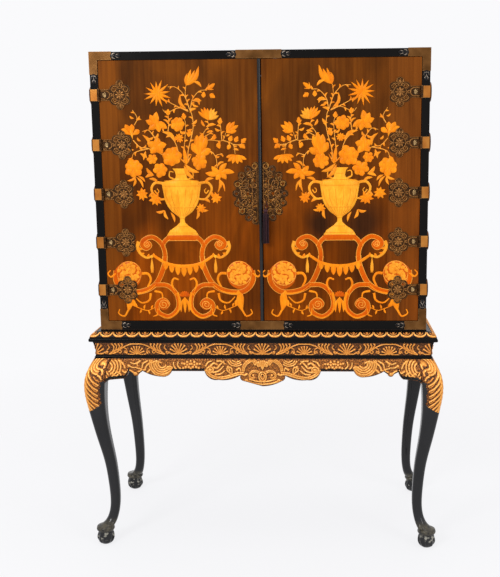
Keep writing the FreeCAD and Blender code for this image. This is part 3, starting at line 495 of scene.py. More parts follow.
DOOR_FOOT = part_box("door_left")[0].z / MM
DOOR_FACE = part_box("door_left")[0].y / MM
URN_AXIS = 255.0
PETAL, PALE, LEAF = srgb(255, 150, 22), srgb(255, 172, 48), srgb(254, 156, 36)
STEM_TINT, URN_TINT, STRAP_TINT = srgb(250, 174, 72), srgb(255, 180, 48), srgb(214, 95, 1)
LINE_TINT, URN_LINE, CUT = srgb(255, 180, 72), srgb(228, 132, 26), srgb(188, 100, 20)
BALL_TINT, BALL_MARK = srgb(255, 166, 46), srgb(220, 98, 10)
BALL_LEAVES, GOLDEN_ANGLE = 34, 2.4
OVER, UNDER = 1.7, 0.5


class Inlay(Ribbons):
    """Flowers, leaves and strapwork of the marquetry."""

    def flower(self, centre, reach, petals, share=0.3, turn=0.0, heart=0.16, peak=0.6, full=0.6):
        """Petals of uneven length about a solid heart."""
        for k in range(petals):
            way = heading(turn + FULL_TURN * (k + 0.12 * rng.uniform(-1, 1)) / petals)
            tip = centre + way * reach * rng.uniform(0.88, 1.08)
            self.blade(centre, tip, reach * share * 1.15, peak=peak, full=full)
        self.disc(centre, reach * heart)
        self.disc(centre, reach * heart * 0.4, URN_LINE)

    def rose(self, centre, radius, turn=0.0):
        """A full bloom: uneven outer petals round a solid disc, with a few curled lines."""
        self.flower(centre, radius * 1.05, 7, 0.34, turn, 0.68)
        for k in range(4):
            way = radius * heading(turn + math.pi * k / 2)
            eye = centre + 0.3 * way
            self.stem(spiral(eye, eye + 0.34 * way, 0.4, 1, 0.7), 0.7, 0.5, URN_LINE)

    def ball(self, centre, radius):
        """A disc covered with small leaves, and a line around it."""
        self.disc(centre, radius, BALL_MARK)
        for k in range(BALL_LEAVES):
            reach = 0.84 * radius * math.sqrt((k + 0.5) / BALL_LEAVES)
            spot = centre + reach * heading(k * GOLDEN_ANGLE) * self.ways
            half = 7.5 * heading(1.7 * k) * self.ways
            self.blade(spot - half, spot + half, 6.6, 0.15 * self.hand, BALL_TINT, full=0.6, rise=OVER)
        self.strip(centre + arc((0, 0), radius - 2.5, count=49) * self.ways, 1.5, LINE_TINT)

    def snail(self, centre, radius, turn):
        """A filled scroll end with a pale line that winds into it."""
        self.disc(centre, radius, STRAP_TINT)
        start = (centre[0] + self.hand * (radius - 2), centre[1])
        self.stem(spiral(centre, start, 1.9, turn, 0.12), 1.5, 1.2, LINE_TINT, OVER)

    def leafage(self, points, gap=24.0):
        """Small curved leaves on alternate sides of a stem."""
        line = curve(points)
        along, side = sides_of(line)
        run = np.concatenate([[0], np.cumsum(np.linalg.norm(np.diff(line, axis=0), axis=1))])
        for k, at in enumerate(np.arange(0.6 * gap, run[-1] - 0.3 * gap, gap)):
            i = int(np.searchsorted(run, at))
            hand = 1 if k % 2 else -1
            tip = line[i] + along[i] * rng.uniform(7, 12) + hand * side[i] * rng.uniform(8, 13)
            self.blade(line[i], tip, rng.uniform(2.4, 3.6), -0.22 * hand, LEAF)

    def spray(self, base, tips, width, bend=0.0, peak=0.58, tint=None):
        """Petals or leaves from one point."""
        for tip in np.reshape(tips, (-1, 2)):
            self.blade(base, tip, width, bend, tint, peak)

    def bud(self, base, tip, width):
        base, tip = np.asarray(base, float), np.asarray(tip, float)
        self.blade(base, tip, width, peak=0.45, full=0.6)
        across = np.array([-(tip - base)[1], (tip - base)[0]])
        for hand in SIDES:
            self.blade(base, base + 0.55 * (tip - base) + hand * 0.4 * across, width * 0.35, tint=LEAF)

    def strap(self, points, half):
        """A band with pale stringing along both edges."""
        line = curve(points, 3.0)
        self.strip(line, half, STRAP_TINT)
        side = self.hand * sides_of(line)[1]
        for hand in SIDES:
            self.strip(line + hand * side * (half - 1.1), 1.1, LINE_TINT)


def draw_bouquet(art):
    """Stems, flowers and leaves that stand in the urn."""
    for points in (
            (25, 520, 25, 556, 42, 623, 41, 665, 33, 687, 21, 728, 24, 763), (29, 680, -2, 694, -48, 718),
            (32, 691, 17, 730, -9, 755, -35, 757), (27, 684, -4, 691, -40, 676, -53, 687),
            (35, 682, 43, 717, 66, 743, 90, 745), (60, 560, 76, 611, 92, 633, 90, 651),
            (66, 566, 89, 589, 134, 587, 148, 613), (136, 589, 169, 575, 176, 544),
            (169, 575, 190, 574, 203, 582), (134, 589, 132, 620, 130, 642),
            (40, 520, 88, 554, 112, 538, 118, 500), (112, 540, 135, 547),
            (-5, 520, -8, 557, -21, 590, -56, 622), (10, 520, 13, 568, 19, 634, 15, 660),
            (-38, 617, -35, 643, -36, 670), (-79, 593, -84, 602, -101, 622, -121, 618),
            (-152, 591, -130, 569, -103, 564, -60, 545, -20, 515), (-103, 564, -149, 551, -159, 525),
            (-146, 638, -136, 660, -150, 686), (43, 713, 69, 710), (79, 600, 105, 616)):
        art.stem(points, 2.0, 1.0, STEM_TINT)
        art.leafage(points)
    for x, y, tip_x, tip_y, width, bend in (
            (23, 687, 4, 735, 5.5, 0.2), (55, 688, 33, 676, 4.5, -0.2), (43, 713, 72, 712, 5, 0.15),
            (41, 703, 62, 694, 4, -0.1), (81, 632, 70, 653, 4.5, 0.1), (84, 630, 117, 638, 5, 0.12),
            (85, 612, 107, 617, 4, 0.1), (-58, 617, -14, 583, 6, 0.18), (-84, 602, -106, 596, 4, 0.2),
            (-82, 598, -70, 613, 4, -0.2), (-101, 567, -121, 608, 5.5, -0.2), (-131, 549, -120, 527, 5, 0.3),
            (-112, 557, -108, 533, 4.5, -0.2), (-88, 479, -112, 503, 6, 0.12),
            (-88, 479, -117, 472, 5.5, -0.12),
            (12, 514, 59, 487, 7, -0.12), (10, 510, 42, 467, 6.5, -0.12), (131, 620, 112, 627, 4, 0.2),
            (-35, 643, -22, 661, 3.6, 0.2), (-36, 640, -52, 655, 3.6, -0.2), (38, 640, 56, 655, 4.5, -0.15),
            (40, 625, 22, 622, 4, 0.2), (17, 610, 0, 622, 4, 0.2), (148, 600, 160, 606, 3.5, 0.1),
            (-57, 366, -86, 361, 5, 0.15), (-57, 366, -46, 336, 5, -0.15), (-38, 359, -25, 326, 4.5, 0.1),
            (57, 372, 86, 365, 5, -0.15), (50, 368, 46, 336, 5, 0.15), (118, 505, 140, 520, 4, 0.2),
            (-150, 560, -172, 572, 4.5, 0.2), (-126, 588, -138, 600, 4, 0.2), (170, 560, 188, 556, 4, 0.1),
            (-146, 660, -160, 668, 3.4, 0.2), (-140, 655, -128, 668, 3.4, -0.2),
            (-48, 718, -40, 704, 3.6, 0.2)):
        art.blade((x, y), (tip_x, tip_y), width, bend, LEAF)
    for x, y, width, bend in ((66, 820, 8, -0.14), (53, 808, 7, -0.05), (41, 811, 6, 0.0), (29, 798, 5, 0.1)):
        art.blade((25, 760), (x, y), width, bend, peak=0.45)
    art.blade((46, 773), (73, 755), 5, 0.15, LEAF)
    for x, y, tip_x, tip_y in (
            (92, 747, 116, 766), (78, 722, 80, 741), (98, 733, 116, 722), (158, 584, 166, 603),
            (176, 582, 185, 601), (196, 580, 212, 594), (194, 576, 208, 562), (160, 575, 152, 559),
            (108, 590, 112, 608), (120, 580, 127, 562), (27, 600, 33, 626), (19, 512, 11, 566),
            (128, 638, 131, 660), (-36, 668, -36, 688), (15, 655, 13, 676)):
        art.bud((x, y), (tip_x, tip_y), 6.5)
    art.flower((-69, 736), 45, 13, 0.088, 0.2, 0.15, 0.36, 1.0)
    art.spray((-75, 644), (-95, 671, -73, 680, -109, 653, -101, 624, -66, 615, -40, 627), 11, 0.06, 0.42)
    art.disc((-75, 644), 11)
    art.rose((-7, 640), 24)
    art.spray((-155, 606), (-188, 627, -176, 641, -154, 642, -130, 623), 9, peak=0.66)
    art.blade((-152, 590), (-158, 625), 6, tint=PALE, peak=0.7)
    art.spray((93, 651), (60, 680, 69, 689, 79, 693, 90, 690), 5.5)
    art.spray((95, 652), (103, 690, 113, 688, 122, 680, 126, 666), 5.5, tint=PALE)
    art.spray((148, 612), (162, 646, 177, 647, 188, 635, 182, 618), 7)
    art.flower((-3, 596), 15, 9, 0.2, 0.1, 0.4)
    art.flower((-76, 571), 31, 5, 0.34, 0.3, 0.4, 0.42, 0.8)
    art.spray((60, 541), (37, 580, 54, 606, 72, 612, 86, 601, 98, 561), 12, peak=0.6)
    art.rose((-29, 537), 32, 0.3)
    art.rose((61, 521), 25)
    art.spray((178, 543), (146, 534, 152, 521, 166, 514, 184, 513, 199, 517, 212, 527), 6, peak=0.62)
    art.spray((125, 485), (148, 516, 173, 486, 78, 485, 112, 463, 146, 464, 99, 506), 9, 0.08, 0.5)
    art.disc((125, 485), 11)
    art.spray((123, 466), (117, 420, 141, 424, 128, 436), 3.6, 0.1, 0.5, LEAF)
    art.rose((-153, 503), 30, 0.2)
    for x, y, tip_x, tip_y in ((-146, 476, -176, 461), (-140, 476, -117, 457), (-146, 474, -124, 438),
                               (-150, 474, -157, 443)):
        art.blade((x, y), (tip_x, tip_y), 4.4, 0.12, LEAF)
    art.flower((-91, 531), 18, 6, 0.34, 0.0, 0.45)
    art.flower((-67, 496), 26, 6, 0.34, 0.2, 0.6)
    for centre, radius in (((-128, 418), 21), ((-86, 402), 23), ((112, 404), 20), ((62, 372), 17)):
        art.flower(centre, radius, 8, 0.24, 0.2, 0.4, 0.4, 1.0)


# Outline of the urn from rim to foot: level, half its width
URN = ((500, 28), (490, 20), (478, 17.5), (470, 19), (464, 28), (461, 50), (456, 62), (450, 64), (434, 61.5),
       (415, 58.5), (397, 55.5), (378, 47), (360, 33), (350, 20), (343, 9.5), (336, 7.5), (326, 8.5),
       (314, 21), (300, 42), (285, 52))


def draw_urn(art):
    levels, halves = np.array(URN, float).T
    line = np.column_stack([np.zeros(73), np.linspace(levels[0], levels[-1], 73)])
    art.strip(line, np.interp(-line[:, 1], -levels, halves), URN_TINT)
    for hand in SIDES:
        art.local(across=hand)
        art.stem((55, 452, 83, 455, 97, 440, 94, 422, 77, 402, 56, 402), 5, 3.4, PALE)
        art.stem((88, 430, 80, 420, 74, 428, 80, 436), 2.6, 1.4, PALE)
        art.stem((24, 466, 38, 474, 36, 490, 24, 488), 3.2, 1.6, PALE)
        art.blade((74, 454), (106, 468), 5, 0.15, LEAF)
        art.blade((95, 428), (108, 410), 5, -0.15, LEAF)
        art.blade((66, 401), (92, 390), 5, 0.15, LEAF)
        for share in (0.2, 0.55, 0.85):
            art.stem((42 * share, 378, 58 * share, 404, 64 * share, 432), 0.8, 0.7, URN_LINE, OVER)
    art.local()
    for level, half in ((482, 12), (462, 56), (444, 61), (374, 39), (340, 7), (313, 17), (292, 46)):
        art.stem((-half, level, 0, level - 0.8, half, level), 0.8, 0.8, URN_LINE, OVER)
    for k in range(-4, 5):
        art.stem((k * 3.4, 346, k * 6.6, 359, k * 9.2, 372), 0.8, 0.7, URN_LINE, OVER)


def draw_strapwork(art):
    """Scrolling bands below the urn, the same on both sides of its axis."""
    art.strap((-52, 275, 0, 275.5, 52, 275), 10)
    for hand in SIDES:
        art.local(across=hand)
        art.strap((48, 276, 62, 262, 70, 244), 8)
        art.strap((66, 181, 61, 222, 72, 257, 100, 278, 128, 270, 136, 252, 122, 241, 110, 251, 117, 260), 8)
        art.strap((61, 215, 66, 181, 92, 126, 132, 101, 180, 95, 210, 108, 227, 136, 225, 168), 9)
        art.stem((146, 264, 151, 244, 140, 222, 119, 210, 98, 220), 6.5, 3.0, PALE)
        for x, y, tip_x, tip_y in ((150, 248, 134, 238), (142, 226, 128, 226), (122, 213, 114, 224),
                                   (104, 215, 98, 226)):
            art.blade((x, y), (tip_x, tip_y), 4.4, 0.2)
        art.snail((120, 255), 13, 1)
        art.disc((187, 150), 45, STRAP_TINT, UNDER)
        art.ball((182, 158), 42)
        art.stem((226, 158, 243, 147, 252, 158, 243, 169), 4.0, 2.0)
        for spread in (-3, 0, 3):
            art.blade((105, 213), (105 + spread, 158), 3.6, tint=PALE, peak=0.6)
        art.disc((105, 214), 5.5, URN_TINT)
        art.stem((140, 158, 120, 157, 111, 138, 122, 112), 5.0, 3.4)
        art.strap((100, 120, 56, 117, 26, 86, 23, 42, 54, 14, 88, 28, 92, 56, 72, 70, 57, 56, 68, 46), 8)
        art.snail((71, 54), 19, -1)
        art.stem((23, 94, 18, 60, 25, 29, 54, 9.5, 88, 19), 5.0, 2.0, rise=OVER)
        art.stem((94, 122, 120, 101, 150, 92, 182, 90), 1.2, 4.2, rise=OVER)
        art.stem((27, 84, 41, 120, 34, 141, 18, 137), 5.0, 3.2)
        art.stem((100, 99, 77, 93, 73, 72), 4.0, 2.2)
        art.stem((112, 92, 119, 68, 144, 60, 167, 80), 4.4, 2.0)
        art.stem((178, 54, 147, 40, 124, 34, 100, 44), 2.0, 1.4)
        for x, y, tip_x, tip_y in ((158, 45, 164, 60), (146, 40, 152, 24), (136, 37, 132, 54),
                                   (124, 34, 118, 20), (112, 38, 106, 52)):
            art.blade((x, y), (tip_x, tip_y), 3.4, 0.1 * hand)
        art.stem((174, 98, 190, 78, 189, 34), 7.0, 3.2)
        art.stem((189, 36, 203, 15, 222, 24, 218, 38), 3.8, 2.0)
        art.blade((182, 96), (191, 28), 10, -0.08, peak=0.4)
        art.blade((186, 74), (168, 46), 6, -0.2)
        art.stem((91, 40, 93, 20, 107, 14), 4.4, 2.0)
        art.blade((0, 78), (13, 27), 5, 0.12)
        art.stem((0, 181, 30, 184, 62, 194, 98, 217), 6.5, 4.5)
        for x, top, foot in ((20, 184, 152), (40, 188, 160), (60, 195, 170)):
            art.blade((x, top), (x, foot), 9, peak=0.36, full=0.6)
    art.local()
    art.blade((0, 182), (0, 147), 9.5, peak=0.36, full=0.6)
    for k in range(-3, 4):
        art.blade((0, 80), (0, 80) + 20 * heading(math.pi / 2 + k * 0.4), 4.6, tint=STRAP_TINT, peak=0.65)
    art.blade((0, 80), (0, 24), 6.0, peak=0.4)


for side, hand in HANDS:
    art = Inlay(front(DOOR_FACE, -hand, URN_AXIS, DOOR_FOOT), hand > 0, CUT, PETAL)
    draw_strapwork(art)
    draw_urn(art)
    draw_bouquet(art)
    art.finish(f"inlay_{side}", f"{side}_door", "marquetry_veneer", INLAY)


# Chased scrolls on the rosettes and the lock roundel

LOCK_LEVEL = 1201.5
HINGE_LEVELS = [LOCK_LEVEL + 157.5 * k for k in range(-2, 3)]
PLATE_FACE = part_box("lock_plate_left")[0].y / MM
TAN, SMOKE, GOLDEN = srgb(148, 100, 48), srgb(114, 80, 50), srgb(188, 132, 60)
BROWN, GILT_MOON = srgb(28, 17, 9), srgb(168, 138, 92)
CHASED = {"edge": BROWN, "tint": TAN, "lift": 0.7, "crown": 0.5, "layer": 0.002}
LOCK_REACH, LOCK_RISE, LOCK_LEAVES, LOCK_GAP = 79.0, 91.0, 190, 10.0
# Scrolls of the lock: across, up or down, radius, turns
LOCK_SCROLLS = ((50, 30, 16, 1.7), (56, 0.1, 12, 1.4), (32, 62, 12, 1.6), (18, 26, 8, 1.3), (64, 48, 8, 1.3),
                (20, 80, 7, 1.2))
ROSETTE_X, STRAP_X = 443.5, 488.5


def chase_rosette(lines, centre, hand):
    """Ring, flower and paired scrolls of one hinge rosette."""
    lines.local(centre)
    lines.strip(arc((0, 0), 20, count=33), 1.5)
    for k in range(8):
        lines.blade((0, 0), 16 * heading(math.pi * k / 4), 3.6, peak=0.6)
    lines.disc((0, 0), 3.4)
    for up in SIDES:
        for out in SIDES:
            lines.local(centre, hand * out, up)
            lines.stem((3, 22, 16, 27, 27, 18, 20, 9), 2.2, 1.2)
            lines.stem((2, 24, 9, 32, 10, 40, 2, 44), 1.9, 1.1)
            lines.stem((14, 31, 9, 37), 1.5, 0.8)
        lines.blade((0, 22), (0, 44), 2.4)
        for out in SIDES:
            lines.local(centre, hand * out, up)
            lines.stem(spiral((18, 17), (26, 17), 1.4, hand), 1.9, 1.2)
            lines.stem(spiral((6, 34), (11, 34), 1.2, -hand), 1.6, 1.0)
            lines.blade((20, 0), (31, 5), 2.4)


def chase_strap(lines, level, hand):
    """Ring and gilt half moon on the strap between knuckle and rosette."""
    lines.local((hand * STRAP_X, level), hand)
    lines.strip(arc((0, 0), 12.5, 0.55 * math.pi, 1.45 * math.pi, 15), 2.2)
    for up in SIDES:
        lines.stem((-2 * hand, 12.5 * up, 17, 12.5 * up), 1.8, 1.8)
        lines.stem((-13, 16.5 * up, 18, 16.5 * up), 1.0, 1.0)
    for angle in np.radians((-70, -35, 0, 35, 70)):
        lines.blade((-1, 0), (1, 0) + heading(angle) * (10.5, 9.5), 2.7, tint=GILT_MOON, peak=0.6, full=0.6)


def chase_lock(lines, hand):
    """Half of the lock roundel: a bar, large scrolls, a rim of curls and small leaves between them."""
    lines.local((0, LOCK_LEVEL), hand)
    oval = np.array([LOCK_REACH, LOCK_RISE])
    tints = (TAN, SMOKE, GOLDEN)
    for k in range(LOCK_LEAVES):
        share = math.sqrt(rng.uniform(0.02, 0.84))
        base = share * oval * heading(math.radians(rng.uniform(-84, 84)))
        way = heading(rng.uniform(0, FULL_TURN)) * lines.ways
        tip = base + rng.uniform(7, 12) * way
        if min(base[0], tip[0]) > LOCK_GAP and np.linalg.norm(tip / oval) < 0.95:
            lines.blade(base, tip, rng.uniform(1.1, 1.9), hand * rng.uniform(-0.4, 0.4), tints[k % 3])
    for k, angle in enumerate(range(-80, 81, 20)):
        way = oval * heading(math.radians(angle))
        eye = np.maximum(0.98 * way, (18, -LOCK_RISE))
        lines.stem(spiral(eye, eye + 0.11 * way, 1.3, hand if k % 2 else -hand, 0.55), 1.6, 1.0, tints[k % 3])
    for x, z, size, turns in LOCK_SCROLLS:
        for end in SIDES:
            eye = np.array([x, end * z])
            start = eye + size * np.array([0.6, -0.8 * end])
            lines.stem(spiral(eye, start, turns, -end, 0.2), 2.0, 1.0)
    lines.stem((27, -44, 25, 0, 27, 44), 1.9, 1.9)
    lines.stem((10.5, -84, 10.5, 84), 1.1, 1.1)


def chase_disc(lines, centre, radius):
    """A round rosette: petals, a ring, a rim of curls and an edge."""
    ways = [radius * heading(turn) for turn in np.arange(17) * math.pi / 8]
    for share, half, tint in ((0.6, 1.4, TAN), (0.95, 1.3, SMOKE)):
        lines.stem([centre + share * way for way in ways], half, half, tint)
    for k, way in enumerate(ways[:-1:2]):
        lines.blade(centre, centre + 0.54 * way, 0.13 * radius, tint=GOLDEN)
        eye = centre + 0.78 * ways[2 * k + 1]
        lines.stem(spiral(eye, eye + 0.14 * way, 1.3, 1 if k % 2 else -1), 1.3, 0.8)
    lines.disc(centre, 0.12 * radius)


for side, hand in HANDS:
    lines = Ribbons(front(PLATE_FACE), False, **CHASED)
    for level in HINGE_LEVELS:
        chase_rosette(lines, (hand * ROSETTE_X, level), hand)
        chase_strap(lines, level, hand)
    chase_lock(lines, hand)
    lines.finish(f"chasing_{side}", f"{side}_door", "dark_bronze", FILIGREE)


# Rosettes on the discs that end the case leaves on the case sides

for side, hand in HANDS:
    low, high = (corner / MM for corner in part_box(f"case_leaf_{side}_1"))
    outer, radius = (high.x if hand > 0 else low.x), (high.z - low.z) / 2

    def on_side(across, up, rise):
        return np.column_stack([outer + hand * rise, across, up])
    lines = Ribbons(on_side, hand < 0, **CHASED)
    for level in HINGE_LEVELS:
        chase_disc(lines, (high.y - radius, level), radius)
    lines.finish(f"chasing_side_{side}", "carcase", "dark_bronze", FILIGREE)


# Dark leaf-shaped finials on the mounts' ends

MOUNT_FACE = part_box("corner_mounts")[0].y / MM
CASE_HALF, CASE_LOW, CASE_HIGH = 537.5, 753.0, 1650.0
CORNER_REACH, RAIL_REACH = 70.0, 72.0
LOW_RAIL, HIGH_RAIL = 767.0, 1637.5
STILE_X = 525.0
# The pale pewter on the dark finials stands for painted silver highlights.
NIGHT, PEWTER_GLINT, JET = srgb(26, 25, 27), srgb(154, 142, 128), srgb(12, 12, 13)


def finial(lines, start, way):
    """A black disc and tip with a bright leaf and specks, from a mount's end outwards; the pale pewter leaf
    and specks are painted silver highlights.
    """
    start, way = np.asarray(start, float), np.asarray(way, float)
    side = np.array([-way[1], way[0]])
    lines.disc(start + 8 * way, 10.2, NIGHT)
    lines.blade(start + 13 * way, start + 31.5 * way, 6.6, tint=NIGHT, peak=0.55, full=0.6)
    lines.blade(start + 2 * way, start + 29 * way, 2.8)
    for hand in SIDES:
        lines.blade(start + 3 * way, start + 14 * way + 8.4 * hand * side, 2.6, 0.2 * hand)
        lines.blade(start + 15 * way, start + 25 * way + 4.6 * hand * side, 1.6, 0.2 * hand)
        lines.disc(start + 4 * way + 6 * hand * side, 1.3)


finials = Ribbons(front(MOUNT_FACE), False, JET, PEWTER_GLINT, 0.35, 0.3)
for level, edge, up in ((LOW_RAIL, CASE_LOW, 1), (HIGH_RAIL, CASE_HIGH, -1)):
    for hand in SIDES:
        finial(finials, (hand * (CASE_HALF - CORNER_REACH), level), (-hand, 0))
        finial(finials, (hand * STILE_X, edge + up * CORNER_REACH), (0, up))
        finial(finials, (hand * RAIL_REACH, level), (hand, 0))
finials.finish("mount_finials", "carcase", "polished_brass", FILIGREE)


# Carving

class Carving:
    """A relief of rounded strokes on a flat grid; heights run from nothing to one."""

    def __init__(self, left, right, low, high, step=1.4):
        self.u = np.linspace(left, right, int(round((right - left) / step)) + 1)
        self.v = np.linspace(low, high, int(round((high - low) / step)) + 1)
        self.height = np.zeros((len(self.v), len(self.u)))

    def trace(self, line, half, height=1.0):
        """Raise a rounded ridge along a sampled line."""
        low, high = line.min(0) - np.max(half), line.max(0) + np.max(half)
        cols = np.flatnonzero((self.u >= low[0]) & (self.u <= high[0]))
        rows = np.flatnonzero((self.v >= low[1]) & (self.v <= high[1]))
        if not len(cols) or not len(rows):
            return
        u, v = np.meshgrid(self.u[cols], self.v[rows])
        share = (((u[..., None] - line[:, 0]) ** 2 + (v[..., None] - line[:, 1]) ** 2) / half ** 2).min(-1)
        area = np.ix_(rows, cols)
        self.height[area] = np.maximum(self.height[area], height * np.sqrt(np.clip(1 - share, 0, 1)))

    def strokes(self, start, end, *lines, height=1.0):
        """Ridges along lines, all with the same taper."""
        for points in lines:
            line = curve(points, 1.2)
            self.trace(line, np.linspace(start, end, len(line)), height)

    def band(self, points, start, end, ribs):
        """Rounded ribs side by side along one line, like a reeded scroll."""
        line = curve(points, 1.5)
        side = sides_of(line)[1]
        half = np.linspace(start, end, len(line))
        for k in range(ribs):
            offset = (2 * k + 1) / ribs - 1
            self.trace(line + side * (offset * half)[:, None], 1.05 * half / ribs)

    def arcs(self, centre, radii, start, end, half):
        """Ribs on circles about one centre, between two angles in degrees."""
        for radius in radii:
            self.trace(arc(centre, radius, math.radians(start), math.radians(end)), half)

    def volute(self, eye, start, turns, hand, half):
        self.strokes(half, 0.75 * half, spiral(eye, start, turns, hand))
        self.boss(eye, 1.4 * half)

    def boss(self, centre, radius, height=1.0):
        self.trace(np.array([centre], float), radius, height)

    def fan(self, base, radius, spread, ribs, start, end, lean=90.0):
        """Straight ribs that spread from one point."""
        for angle in np.radians(np.linspace(lean - spread, lean + spread, ribs)):
            self.strokes(start, end, [base, base + radius * heading(angle)])

    def stipple(self, pitch, height, seed):
        """Punched ground: low beads on a jittered grid."""
        draw = np.random.default_rng(seed)
        for u in np.arange(self.u[0], self.u[-1], pitch):
            for v in np.arange(self.v[0], self.v[-1], pitch):
                centre = (u + draw.uniform(-1, 1), v + draw.uniform(-1, 1))
                self.boss(centre, pitch * 0.46, height * draw.uniform(0.4, 1))

    def mirror(self):
        """Repeat the drawing on the other side of the middle."""
        self.height = np.maximum(self.height, self.height[:, ::-1])

    def sample(self, u, v, values=None):
        """Height, or another value of the grid, at any place between its points."""
        col = np.clip((u - self.u[0]) / (self.u[1] - self.u[0]), 0, len(self.u) - 1.001)
        row = np.clip((v - self.v[0]) / (self.v[1] - self.v[0]), 0, len(self.v) - 1.001)
        i, j = row.astype(int), col.astype(int)
        s, t = row - i, col - j
        h = self.height if values is None else values
        below = (1 - t) * h[i, j] + t * h[i, j + 1]
        above = (1 - t) * h[i + 1, j] + t * h[i + 1, j + 1]
        return (1 - s) * below + s * above


# Strength of the painted highlight on crests and of the painted shade in the hollows beside them.
PAINTED_CAVITY_LIGHT = 0.4
BLACKED = -0.4
RIM_DIP, RIM_CELLS = 0.6, 3
GROUND_LIFT = 0.3


def gilt_tone_with_painted_light(heights, low, high):
    """Tone of a gilded relief with painted light: a painted highlight on the crests, and painted shade in the
    hollows that is darkest right beside them.
    """
    soft = heights
    for axis in (0, 1):
        soft = sum(np.roll(soft, shift, axis) for shift in range(-3, 4)) / 7
    return low + (high - low) * heights + PAINTED_CAVITY_LIGHT * (heights - soft)


def lay_relief(name, node, us, vs, view, heights, rise, shade, dark=False, margin=()):
    """Drape a relief over a CAD face: rays find the face, and the relief's rim dips under it.

    Shade gives the tone of the ground and of the highest parts; dark picks the cells that are painted black.
    Margin blackens the lower edge: between two distances from the middle, a number of cells high.
    """
    place, aim = view[0], Vector(view[1]).normalized()
    tree = tree_of(node)
    points = np.full((len(vs), len(us), 3), np.nan)
    for i, v in enumerate(vs):
        for j, u in enumerate(us):
            hit = tree.ray_cast(Vector(place(u, v)) * MM, aim, 0.2)[0]
            if hit is not None:
                points[i, j] = np.array(hit) / MM
    inside = ~np.isnan(points[..., 0])
    depth = np.zeros(inside.shape)
    core = inside.copy()
    for _ in range(RIM_CELLS):
        rim = np.pad(core, 1)
        core = core & rim[:-2, 1:-1] & rim[2:, 1:-1] & rim[1:-1, :-2] & rim[1:-1, 2:]
        depth += core / RIM_CELLS
    lift = (heights * rise + GROUND_LIFT + RIM_DIP) * depth - RIM_DIP
    points -= np.array(aim) * lift[..., None]
    cells = np.zeros(len(us), int)
    for near, far, count in margin:
        cells[(np.abs(us) > near) & (np.abs(us) < far)] = count
    dark = dark | (np.arange(len(vs))[:, None] < np.argmax(inside, axis=0) + cells)
    # Toward the rim, where the relief dips under the face, the tone falls off: painted shade at the seam.
    tone = np.where(dark, BLACKED, gilt_tone_with_painted_light(heights, *shade) * (0.7 + 0.3 * depth))
    index = np.full(inside.shape, -1)
    index[inside] = np.arange(inside.sum())
    quads = quads_of(index)
    quads = quads[(quads >= 0).all(1)]
    corner = Vector(place(us[0], vs[0]))
    along, up = Vector(place(us[1], vs[0])) - corner, Vector(place(us[0], vs[1])) - corner
    if along.cross(up).dot(aim) > 0:
        quads = quads[:, ::-1]
    build(name, points[inside], quads, "carcase", GILT, depth=tone[inside])


FRAME_X, FRAME_Y = 556.5, 239.0
FACES = (("front", FRAME_X, 0), ("left", FRAME_Y, -1), ("right", FRAME_Y, 1))
FRIEZE_LOW, FRIEZE_HIGH = 667.5, 717.0
PERIOD = 278.0
FAR = 80.0


def onto(hand, foot=0.0, low=0.0, sine=1.0, cosine=0.0):
    """Where rays start and how they run towards the stand's front or a side; the face may slope."""
    def place(across, up):
        out = foot - up * cosine + FAR * sine
        level = low + up * sine + FAR * cosine
        return (hand * (FRAME_X + out), across, level) if hand else (across, -FRAME_Y - out, level)
    return place, (-hand * sine, 0 if hand else sine, 0 - cosine)


def folded(u, period):
    """Distance to the nearest multiple of a period."""
    turn = np.mod(u, period)
    return np.minimum(turn, period - turn)


def frieze_unit():
    """Half a repeat of the frieze, from a shell under its arch to the next lotus."""
    unit = Carving(0, PERIOD / 2, 0, FRIEZE_HIGH - FRIEZE_LOW, 1.0)
    unit.stipple(3.2, 0.5, 5)
    for angle, reach in ((90, 24), (68, 25), (45, 25), (20, 24)):
        tip = (0, 7) + reach * heading(math.radians(angle))
        unit.strokes(1.8, 3.0, [(1, 6), tip])
        unit.boss(tip, 3.6)
    unit.boss((0, 8), 5)
    unit.strokes(2.2, 2.0, (8, 6, 20, 5, 30, 6))
    unit.volute((36, 11), (42, 10), 1.1, 1, 2.0)
    unit.strokes(2.6, 2.8, (0, 41, 16, 41, 34, 35, 52, 24, 70, 11, 92, 6))
    for rib in ((92, 7, 80, 17, 76, 31, 81, 40), (86, 9, 72, 20, 67, 33, 71, 41),
                (76, 13, 63, 23, 57, 33, 60, 40), (65, 19, 53, 28, 47, 36, 49, 41)):
        unit.strokes(2.0, 3.0, rib)
        unit.boss(rib[-2:], 3.6)
    unit.strokes(2.4, 1.6, (60, 22, 52, 15, 56, 9, 62, 13))
    unit.strokes(2.2, 1.6, (44, 28, 36, 24, 33, 18), (98, 21, 92, 28, 95, 36))
    for angle, reach in ((90, 36), (107, 37), (125, 36), (146, 31)):
        way = reach * heading(math.radians(angle))
        tip = (139, 5) + way
        unit.strokes(1.8, 3.2, [(138, 7), (140.5, 5) + 0.6 * way, tip])
        unit.boss(tip, 3.9)
    unit.boss((139, 8), 6)
    unit.volute((101, 13), (107, 13), 1.1, -1, 2.0)
    unit.strokes(2.2, 2.4, (107, 12, 116, 7, 132, 7))
    return unit


def carve_frieze():
    unit = frieze_unit()
    vs = np.arange(FRIEZE_LOW + 0.6, FRIEZE_HIGH - 0.3, 1.5)
    # The top band, under the lip, is painted shadow; the bottom band above the astragal is painted black.
    black = ((vs > FRIEZE_HIGH - 4.0) | (vs < FRIEZE_LOW + 3.4))[:, None]
    for name, reach, hand in FACES:
        us = np.arange(0.5 - reach, reach - 0.5, 1.6)
        u, v = np.meshgrid(us, vs)
        heights = unit.sample(folded(u - PERIOD / 2, PERIOD), v - FRIEZE_LOW)
        lay_relief(f"frieze_carving_{name}", f"frieze_{name}", us, vs, onto(hand), heights, 4.2,
                   (0.15, 0.7), black)


APRON_HIGH, APRON_STEP = 659, 1.6
KNEE_MARGIN = 112


